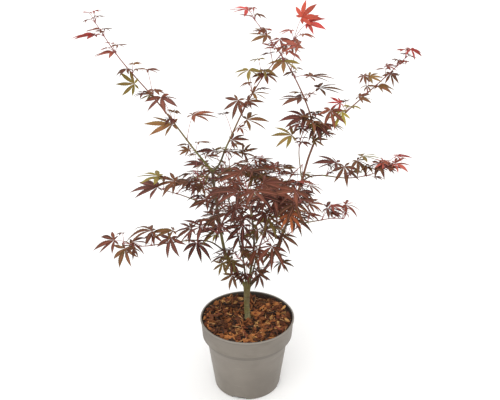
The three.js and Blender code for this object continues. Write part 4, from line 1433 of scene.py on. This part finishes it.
# %% Leaves of the long shoots
SINGLE_LEAVES = {
    "left_whip": {
        (0, 0): named("russet", 1, (12, 0, 46), "slim_right", node=0.09),
        (0, 1): named("umber", 0.5, (-12, 0, 3), "left"),
        (1, 0): named("plum", 0.95, (-21, 0, 48), "hanging"),
        (1, 1): named("bronze", 1.15, (-3, -5, 0), "left", 0.78),
        (2, 0): named("olive", 0.6, (-3, -2, 5), "left"),
        (2, 1): named("russet", 0.6, (-7, 0, 48), "slim_right"),
        (3, 0): named("lime", 0.85, (4, -8, -16), "facing"),
        (3, 1): named("umber", 0.6, (8, 0, 8), "slim_right"),
        (4, 0): named("rose", 1.15, (-2, -4, 1), "slim_left"),
        (4, 1): named("rose", 0.6),
        (5, 0): named("rose", 0.9, (-5, 0, 11), "slim_left"),
        (5, 1): named("crimson", 1.25, (-16, 0, 1), "slim_left"),
        (6, 0): named("crimson", 0.5),
        (6, 1): named("crimson", 0.5),
    },
    "middle_whip": {
        (0, 0): named("plum", 0.5),
        (0, 1): named("bronze", 0.95, (27, 0, 27), "rising_right"),
        (0, 0, "small"): named("plum", 1.4, (-1, -6, -9), "right"),
        (1, 0): named("plum", 0.8, (-8, 0, 22), "hanging_left"),
        (1, 1): named("umber", 0.65, (9, 0, 20), "right"),
        (2, 0): named("bronze", 0.75, (1, -3, 3), "right"),
        (2, 1): named("olive", 1, (-6, 0, 43), "edge_on"),
        (3, 0): named("russet", 0.8, (6, -3, 9), "edge_on"),
        (3, 1): named("olive", 0.55),
        (4, 0): named("rose", 0.5),
        (4, 1): named("rose", 0.6),
        (5, 0): named("wine", 0.65, (-9, 0, 20), "hanging"),
        (5, 1): named("russet", 0.6, (12, 0, 5), "right"),
        (6, 0): named("scarlet", 0.72, (13, 0, 39), ((0.73, 0, 0.68), (-0.2, -0.9, 0.42)), 1.3),
        (6, 1): named("crimson", 0.85, (23, 0, 29), ((1, 0, 0.5), (-0.1, -0.6, 0.8)), 1.1),
    },
    "crossing_whip": {
        (0, 0): named("plum", 0.8, (3, -8, 26), "hanging"),
        (0, 1): named("bronze", 0.65, (1, -4, -2), "right"),
        (1, 0): named("russet", 0.6, (4, 0, 8), "slim_right", node=0.27),
        (1, 1): named("wine", 0.95, (-12, 0, 7), "left"),
        (2, 0): named("plum", 1.15, (-7, 0, 5), "slim_left"),
        (2, 1): named("plum", 1.15, (23, 0, 23), ((1, 0, 0), (0, -0.15, 1)), 1.2),
        (3, 0): named("umber", 1.2, (25, 0, 2), "slim_right"),
        (3, 1): named("rose", 0.85, (11, 0, 43), "left", node=0.63),
        (4, 0): named("olive", 1.15, (3, -8, -9), "edge_on"),
        (4, 1): named("rose", 0.5),
        (5, 0): named("umber", 0.5, (-3, 0, 9), "left"),
        (5, 1): named("bronze", 1, (1, -3, 1), "rising_left"),
        (6, 0): named("crimson", 1.2, pose=((-1, 0, 0.15), (0.1, -0.15, 1))),
        (6, 1): named("rose", 0.5),
    },
    "right_whip": {
        (0, 0): named("russet", 0.75, (9, -4, 42), "drooping"),
        (0, 1): named("umber", 0.5, (2, -3, -1), "right"),
        (1, 0): named("crimson", 0.6, (-11, 0, 16), "rising_left"),
        (1, 1): named("lime", 0.75, (-9, -3, 2), "hanging_left"),
        (2, 0): named("plum", 0.6, (-9, 0, 31), "drooping"),
        (2, 0, "small"): named("bronze", 1.2, (0, 0, 28), "right"),
        (2, 1): named("umber", 0.95, (-15, 0, -7), ((1, 0, -0.3), (0, -0.2, 1))),
        (3, 0): named("bronze", 0.95, (1, -4, -2), "slim_right", node=0.59),
        (3, 1): named("umber", 0.8, (8, 0, 6), "drooping"),
        (4, 0): named("rose", 0.9, (-19, 0, 0), ((1, 0, -0.15), (0, -0.2, 1))),
        (4, 1): named("rose", 0.6, (15, 0, 8), "slim_left"),
        (5, 0): named("crimson"),
        (5, 1): named("scarlet"),
    },
}

print("on long shoots:", sum(len(singles) for singles in SINGLE_LEAVES.values()))

# %% [markdown]
# ## Leaves of the side branches
# Shorter branches reach out of the crown on both sides, and a slender twig rises from it.
# Their leaves are placed one by one too: some lie level, some hang, and on the left those
# nearest the stem are painted dark, as painted shade. They are added to the same table.

# %% Leaves of the side branches
SINGLE_LEAVES |= {
    "slender_twig": {
        (0, 0): named("plum", 0.7),
        (0, 1): named("olive", pose=((-1, 0, 0.1), (0, -0.6, 0.8))),
        (1, 0): named("plum", 0.7),
        (1, 1): named("umber", 0.7),
    },
    "right_branch": {
        (0, 0): named("umber", 0.85, (30, -11, 22), "drooping", broad=0.9),
        (0, 1): named("plum", 1.05, (17, 0, 25), ((-1, 0, 0.15), (0.15, -0.1, 1))),
        (0, 1, "small"): named("plum", 0.5, (4, 0, 6)),
        (1, 0): named("bronze", 0.8, (16, 0, 33), ((0.6, -0.6, -0.5), (0.2, -0.5, 1))),
        (1, 1): named("olive", 1, (24, 0, 41), "slim_right"),
        (2, 0): named("umber", 0.6, (0, 0, 20), "edge_on"),
        (2, 1): named("plum", 0.9, (23, 0, 24), "hanging"),
        (3, 0): named("rose", 0.6),
        (3, 1): named("rose", 0.7, (12, 0, 18), "left"),
        (4, 0): named("crimson", 1, (22, 0, 24), "slim_right", broad=0.8),
        (4, 1): named("rose", 0.9, (21, 0, 10), "right"),
    },
    "lower_left_branch": {
        (0, 0): named("dusk", 0.95, (19, -3, -4), "hanging"),
        (0, 1): named("dusk", 0.85, (10, 0, 25), "left", 1.1),
        (1, 0): named("bronze", 0.95, (13, 0, 26), "slim_left"),
        (1, 1): named("plum", 1.1, (9, -2, 13), "hanging_left"),
        (2, 0): named("umber", 1.3, (2, 0, 29), ((-1, 0, 0.28), (0.28, -0.15, 1))),
        (2, 1): named("russet", 0.7, (2, 0, 22), "hanging"),
        (3, 0): named("umber", 0.6),
        (3, 1): named("russet", 0.9, (-15, 0, 8), "right"),
        (4, 0): named("olive", 0.7, (0, 0, -2), "left"),
        (4, 1): named("russet", 1.2, (-30, 0, 9), ((-1, -0.1, -0.3), (-0.1, -0.4, 1))),
        (5, 0): named("plum", 0.5),
        (5, 1): named("umber", 1.15, (2, -3, -9), "hanging_left"),
    },
    "middle_left_branch": {
        (0, 0): named("plum", 0.8, (-7, 0, 37), "slim_left"),
        (0, 1): named("dusk", 0.95, (23, 0, 0), ((-1, -0.3, -0.3), (0, -0.3, 1))),
        (1, 0): named("plum", 1.25, (22, 0, 22), ((-1, 0, 0.15), (0, 0.1, 1))),
        (1, 1): named("dusk", 0.8, (26, 0, 22), ((0.8, -0.5, -0.5), (0.2, -0.3, 1))),
        (2, 0): named("umber", 1.1, (22, 0, 16), ((-1, -0.2, -0.25), (0, -0.5, 1))),
        (2, 1): named("umber", 0.7, (5, 0, 22), "slim_left"),
        (3, 0): named("plum", 1.65, (1, 0, -2), ((-1, 0, -0.12), (0, -0.1, 1)), 1.2),
        (3, 1): named("olive", 1.25, (5, 0, 19), ((-1, 0, 0.12), (0.1, -0.1, 1)), 1.2),
    },
    "lower_right_branch": {
        (0, 0): named("umber", 1, (1, 0, 37), ((1, 0, 0.25), (-0.2, -0.3, 1))),
        (0, 1): named("russet", 0.7, (4, 0, 14), "slim_right"),
        (1, 0): named("plum", 1.3, (8, 0, 24), ((1, -0.1, -0.3), (0, -0.25, 1))),
        (1, 1): named("rose", 0.9, (16, 0, 27), "slim_right"),
        (2, 0): named("umber", 0.8, (-7, 0, 10), ((1, 0, -0.3), (0, 0, 1))),
        (2, 1): named("rose", 0.95, (19, 0, 27), ((1, -0.1, -0.35), (0.1, -0.3, 1))),
        (3, 0): named("rose", 0.6, (0, 0, 20), "slim_right"),
        (3, 1): named("rose", 0.6),
    },
}

print("with the side branches:", sum(len(singles) for singles in SINGLE_LEAVES.values()))

# %% [markdown]
# ## Leaves at the crown's edge
# Inside the crown few leaves are seen whole, and the rule is enough. At its edge single
# leaves draw the outline, and here and there an olive, amber or lime one lights up the mass.
# In two masses at the back some leaves are set lower, so that none rises over the crown.

# %% Leaves at the crown's edge
SINGLE_LEAVES |= {
    "front_left_crown": {
        (0, 1): named("plum", 1, pose=((-1, 0, -0.1), (0, -0.5, 1))),
        (1, 1): named("lime", 0.9, (-14, -4, -4), "slim_left"),
        (2, 0): named("wine", 1.35, pose=((-1, 0, -0.05), (0, -0.2, 1))),
    },
    "front_right_crown": {
        (0, 1): named("olive"),
        (1, 1): named("amber", 0.9, (14, -12, 8), "drooping", broad=0.9),
        (3, 0): named("amber", 0.72, (-17, -10, -17), "drooping"),
    },
    "front_low": {(1, 0): named("olive"), (2, 1): named("olive")},
    "low_centre": {(1, 1): named("olive")},
    "low_left": {
        (0, 0): named("bronze", 1.15, (3, -3, -16), "hanging_left"),
        (0, 1): named("olive", pose="hanging_left"),
    },
    "low_right": {(0, 1): named("umber", 1, (-17, -3, -14), "hanging_right")},
    "upper_inner": {
        (0, 0): named("plum", 1.3, (-14, -4, 43), "slim_left"),
        (0, 1): named("umber", 1.1, (11, -4, 43), "slim_right"),
        (1, 0): named("bronze", 0.9, (-5, -4, 16), ((0.9, 0, 0.45), (0, -0.7, 0.8))),
        (2, 0): named("russet", 0.9, (-6, 0, -10), "slim_right"),
        (2, 1): named("rose", 0.6, (-4, -4, -6), "slim_right"),
    },
    "outer_left": {
        (0, 0): named(None, 0.8),
        (0, 1): named("plum", 0.9, (-2, -6, -12), "hanging"),
        (1, 0): named("russet", 0.6, (-4, 0, 39), "slim_left"),
        (1, 1): named("umber", 0.8, (-2, -6, -20), "hanging"),
        (2, 0): named("bronze", 0.8, (16, -8, -22), "hanging"),
        (2, 1): named("olive", 0.9, (27, 0, -12), "slim_left"),
    },
    "outer_right": {
        (0, 0): named("russet"),
        (0, 1): named("umber", 1.2, (11, 0, 35), ((1, -0.3, -0.35), (0.1, -0.4, 1))),
        (1, 0): named("umber", 1, (4, 0, 29), ((1, -0.1, -0.25), (0, -0.2, 1))),
        (1, 1): named("amber"),
        (2, 0): named("russet", 0.8, (2, 0, 23), "slim_right"),
        (2, 1): named("lime"),
    },
    "back_left_crown": {
        (2, 1): named(None, 1, (10, 6, -14), "slim_right"),
        (3, 0): named(None, 1, (-4, 8, -24), "behind"),
    },
    "back_right_crown": {
        (1, 0): named(None, 1, (6, 6, -12), "slim_right"),
        (2, 0): named(None, 1, (4, 8, -30), "behind"),
        (2, 1): named(None, 1, (-8, 6, -10), "slim_left"),
        (3, 0): named(None, 1, (-4, 8, -26), "behind"),
        (3, 1): named(None, 1, (2, 6, -24), "slim_right"),
    },
}

print("called by name in all:", sum(len(singles) for singles in SINGLE_LEAVES.values()))

# %% [markdown]
# ## Colours of the lobes
# No leaf has one plain colour. Each lobe takes the leaf's colour, mixed by chance with a
# second one of the same hand, and made lighter or darker. Red leaves keep to their own
# colour. How light a whole leaf is comes from its kind of shoot, and from chance.

# %% Colours of the lobes
LEAF_LIGHT = {"least": 0.6, "more": 0.76}
LOBE_SHADE = {"light": 0.5, "other": 0.6}
RED = ("scarlet", "crimson")


def leaf_colours(shoot, leaf, seed, count):
    """A base colour for each lobe of a leaf: mostly its own, partly another of the hand."""
    hand = HANDS[SHOOT_HANDS[shoot][int(leaf["share"] > YOUNG_FROM)]]
    weights = [(COLOURS[name], part) for name, part in hand.items()]
    own, other = deal(weights, chance(seed + 70, count)), deal(weights, chance(seed + 72, count))
    if leaf["colour"]:
        own = srgb(*COLOURS[leaf["colour"]])
    if leaf["colour"] in RED:
        other = own
    spread = LEAF_LIGHT["more"] * chance(seed + 71, count)
    # A leaf's light is its kind's, which for the inner kind is painted shade, times chance.
    light = leaf["light"] * (LEAF_LIGHT["least"] + spread)
    lobes = []
    for lobe in range(len(LOBES)):
        share = LOBE_SHADE["other"] * chance(seed + 90 + lobe, count)
        bright = light * (1 + LOBE_SHADE["light"] * (chance(seed + 100 + lobe, count) - 0.5))
        lobes.append((*[lerp(a, b, share) * bright for a, b in zip(own[:3], other[:3])], 1))
    return lobes


lobe_shades = leaf_colours("left_whip", trial[0], 100, 0)
print("light of the first leaf's lobes:", [round(sum(shade[:3]), 2) for shade in lobe_shades])

# %% [markdown]
# ## The finish of leaf and twig
# A leaf's finish starts from its own colour. The ribs and side veins are lighter, the margin
# is darker, and slow clouds shift the colour towards a dull green. Ribs and veins also give
# the blade a shallow relief, and it hardly shines. Twigs run from olive through brown to red
# towards the tip, and the stalks are pink, which an age of more than 1 stands for.


# %% Leaf and twig finishes
def leaf_finish():
    finish = Finish("maple_leaf", Roughness=0.55, Specular_IOR_Level=0.1)
    place = finish.place()
    _, tint = finish.attribute("tint")
    rib, _ = finish.attribute("rib")
    out, _ = finish.attribute("out")
    slow = finish.noise(place, 70.0)
    fine = finish.noise(place, 900.0, 4.0)
    vein = (out * 95 + rib * 11).sine().between(0.55, 1.0)
    colour = finish.mix(slow.between(0.42, 0.72) * 0.38, tint, srgb(66, 60, 38))
    colour = finish.mix(fine.between(0.5, 0.8) * 0.3, colour, srgb(46, 26, 28))
    colour = finish.mix((1 - rib).between(0.75, 1.0) * 0.3, colour, srgb(58, 26, 30))
    colour = finish.mix(vein * 0.14, colour, srgb(150, 96, 84))
    colour = finish.mix(rib.between(0.74, 0.96) * 0.6, colour, srgb(164, 98, 84))
    finish.relief(vein * 0.4 + rib.between(0.7, 1.0) + fine * 0.3, 0.00025)
    return finish.wear(Base_Color=colour, Roughness=0.46 + fine * 0.2)


def twig_finish():
    finish = Finish("young_twig", Roughness=0.5)
    place = finish.place()
    age, _ = finish.attribute("age")
    grain = finish.noise(place, 500.0, 4.0)
    slow = finish.noise(place, 45.0)
    aged = age + (slow - 0.5) * 0.25
    colour = finish.mix(aged.between(0.1, 0.45), srgb(112, 106, 58), srgb(122, 74, 56))
    colour = finish.mix(aged.between(0.4, 0.95), colour, srgb(146, 70, 68))
    colour = finish.mix(age.between(1.2, 1.5), colour, srgb(150, 84, 80))
    colour = finish.mix(grain.between(0.5, 0.8) * 0.3, colour, srgb(60, 36, 34))
    finish.relief(grain, 0.0002)
    return finish.wear(Base_Color=colour, Roughness=0.42 + grain * 0.2)


LEAF, TWIG_BARK = leaf_finish(), twig_finish()
print("leaf finish nodes:", len(LEAF.node_tree.nodes))

# %% [markdown]
# ## Stem, stalk and bud
# A shoot's stem has a small knot at every pair of leaves. Each leaf has a thin stalk, which
# bends over and ends where the blade begins, and in its angle with the stem sits a pointed
# bud. All of them are tubes, gathered as the wood of one shoot. Every point has an age,
# which the finish turns into a colour: about 0 in old wood, about 1 at a young tip, and more
# than 1 in the stalks.

# %% Stem, stalk and bud
STEM = {"tip": 0.6, "step": 2.0, "sides": 8, "age": 0.15, "tip_age": 0.9}
TWIG_STEM = {"sides": 6, "age": 0.2}
KNOT = {"height": 0.55, "width": 1.5}
STALK_SHAPE = {"root": 0.62, "tip": 0.4, "arch": 0.09, "sides": 5, "steps": 7, "age": 1.6}
STALK_FOOT = {"radius": 0.5, "fade": 1.6}
BUD = {"length": 3.2, "radius": 0.75, "ahead": 1.2, "out": 0.6, "sides": 6, "steps": 6, "age": 0.85}
BUD_TAPER = (0.2, 0.78)


class Wood:
    """Gathers the tubes of one piece, with an age for each point."""

    def __init__(self):
        self.points, self.faces, self.ages = [], [], []

    def add(self, points, faces, ages):
        first = len(self.points)
        self.points += points
        self.faces += [tuple(first + i for i in face) for face in faces]
        self.ages += ages


def stem_radius(root, knots, length):
    """A stem's radius along it, with a swelling at each of its knots."""

    def radius(t):
        near = min((abs(t - knot) for knot in knots), default=1) * length
        swell = KNOT["height"] * math.exp(-((near / KNOT["width"]) ** 2))
        return lerp(root, STEM["tip"], t) + swell

    return radius


def grow_stem(wood, line, root, leaves, rank):
    """The stem of a shoot, or of its side twigs, whose rank is more than 0."""
    length = length_of(line)
    radius = stem_radius(root, [leaf["t"] for leaf in leaves], length)
    sides = STEM["sides"] if rank == 0 else TWIG_STEM["sides"]
    points, faces, along = tube(line, radius, sides, math.ceil(length / STEM["step"]))
    age = STEM["age"] + TWIG_STEM["age"] * rank
    wood.add(points, faces, [lerp(age, STEM["tip_age"], t) for t in along])


def grow_stalk(wood, leaf):
    """A leaf stalk that lifts, bends over and ends under the blade."""
    root, end = leaf["root"], leaf["centre"]
    reach = (end - root).length
    lift = UP * reach * STALK_SHAPE["arch"]
    line = Line([root, root.lerp(end, 0.5) + lift, end])

    def radius(t):
        foot = STALK_FOOT["radius"] * math.exp(-t * reach / STALK_FOOT["fade"])
        return lerp(STALK_SHAPE["root"], STALK_SHAPE["tip"], t) + foot

    points, faces, along = tube(line, radius, STALK_SHAPE["sides"], STALK_SHAPE["steps"])
    wood.add(points, faces, [STALK_SHAPE["age"] for _ in along])


def grow_bud(wood, leaf, heading):
    """A pointed bud in the angle between the stem and the leaf stalk."""
    way = (leaf["way"] + heading * BUD["ahead"]).normalized()
    start = leaf["root"] + way * BUD["out"]
    line = Line([start, start + way * BUD["length"] / 2, start + way * BUD["length"]])

    def radius(t):
        return BUD["radius"] * math.sin(math.pi * (BUD_TAPER[0] + BUD_TAPER[1] * t))

    points, faces, along = tube(line, radius, BUD["sides"], BUD["steps"])
    wood.add(points, faces, [BUD["age"] for _ in along])


sample = Wood()
grow_stalk(sample, trial[0])
grow_bud(sample, trial[0], UP)
print("points of a stalk and a bud:", len(sample.points))

# %% [markdown]
# ## The leaves of a shoot as one piece
# All the blades of a shoot are one mesh. Each point keeps its lobe's colour, its nearness to
# the rib and its way out, which the finish reads. Each leaf also gets a cell of its own on a
# flat map, so that a painted copy of the finish has room for every leaf.

# %% Leaf piece
MAP_CELL = {"half": 1.04, "middle": 0.32, "depth": 0.7}


def leaf_piece(name, blades):
    """All the blades of a shoot as one mesh, with colours and a map."""
    points, faces, tints, ribs, outs, spots = [], [], [], [], [], []
    cells = math.ceil(math.sqrt(len(blades)))
    for number, (bent, flat, colours) in enumerate(blades):
        first = len(points)
        points += bent
        faces += [tuple(first + i for i in face) for face in LEAF_FACES]
        tints += [colours[point[0]] for point in LEAF_POINTS]
        ribs += [point[3] for point in LEAF_POINTS]
        outs += [point[1] for point in LEAF_POINTS]
        column, row = number % cells, number // cells
        for x, y in flat:
            ahead = (x - MAP_CELL["middle"]) / MAP_CELL["half"] / MAP_CELL["depth"]
            u = (column + (y / MAP_CELL["half"] + 1) / 2) / cells
            v = (row + (ahead + 1) / 2) / cells
            spots.append((u, v))
    attributes = {"tint": tints, "rib": ribs, "out": outs}
    piece = mesh_object(name, points, faces, attributes=attributes)
    layer = piece.data.uv_layers.new(name="OFBake")
    order = [0] * len(piece.data.loops)
    piece.data.loops.foreach_get("vertex_index", order)
    layer.data.foreach_set("uv", [part for i in order for part in spots[i]])
    return piece


print("room for a leaf on the map, half of its width:", MAP_CELL["half"])

# %% [markdown]
# ## Growing the shoots
# Everything is ready to grow each shoot: its stem, its side twigs, and for each leaf a bud,
# a stalk and a blade. The small leaves have no buds. A shoot becomes two pieces, wood and
# leaves, because they have different finishes. Both stand for the shoot's own mass of
# foliage in the frame, and an inner shoot's for the mass that it is part of.

# %% Growing
SEEDS_APART = 100


def stems_of(growth, seed):
    """A shoot's own stem and its side twigs: line, habit, seed and radius at the root."""
    line = Line(growth["along"])
    twigs = [FIRST_TWIG, FINER_TWIG] if growth.get("twigs") else []
    own = [(line, growth, seed, growth["root"])]
    return own + [(*side_twig(line, growth, seed, twig), TWIG["root"]) for twig in twigs]


def grow_shoot(name, growth, seed):
    """The wood and the blades of one shoot with its side twigs."""
    wood, blades, host = Wood(), [], growth.get("part_of", name)
    for rank, (line, habit, own_seed, root) in enumerate(stems_of(growth, seed)):
        leaves = leaves_along(line, habit, own_seed)
        small = small_leaves(line, habit, own_seed) if rank == 0 else []
        singles = SINGLE_LEAVES.get(name, {}) if rank == 0 else {}
        for leaf in [*leaves, *small]:
            if leaf["mark"] in singles:
                single_out(leaf, line, singles[leaf["mark"]])
        grow_stem(wood, line, root, leaves, rank)
        for leaf in leaves:
            grow_bud(wood, leaf, line.heading(leaf["t"]))
        for count, leaf in enumerate([*leaves, *small]):
            grow_stalk(wood, leaf)
            colours = leaf_colours(host, leaf, own_seed, count)
            blades.append((*bent_leaf(leaf, own_seed, count), colours))
    return wood, blades


leaf_total, face_total = 0, 0
inner = {name: {**INNER_HABIT, **growth} for name, growth in INNER_SHOOTS.items()}
for order, (name, growth) in enumerate({**SHOOTS, **inner}.items()):
    wood, blades = grow_shoot(name, growth, SEEDS_APART * (order + 1))
    mass = "foliage_" + growth.get("part_of", name)
    twigs = mesh_object(name + "_wood", wood.points, wood.faces, attributes={"age": wood.ages})
    finish_piece(twigs, TWIG_BARK, mass)
    leafage = leaf_piece(name + "_leaves", blades)
    finish_piece(leafage, LEAF, mass)
    leaf_total += len(blades)
    face_total += len(twigs.data.polygons) + len(leafage.data.polygons)
    print(name, "leaves:", len(blades))
print("leaves in all:", leaf_total, "faces in all:", face_total)
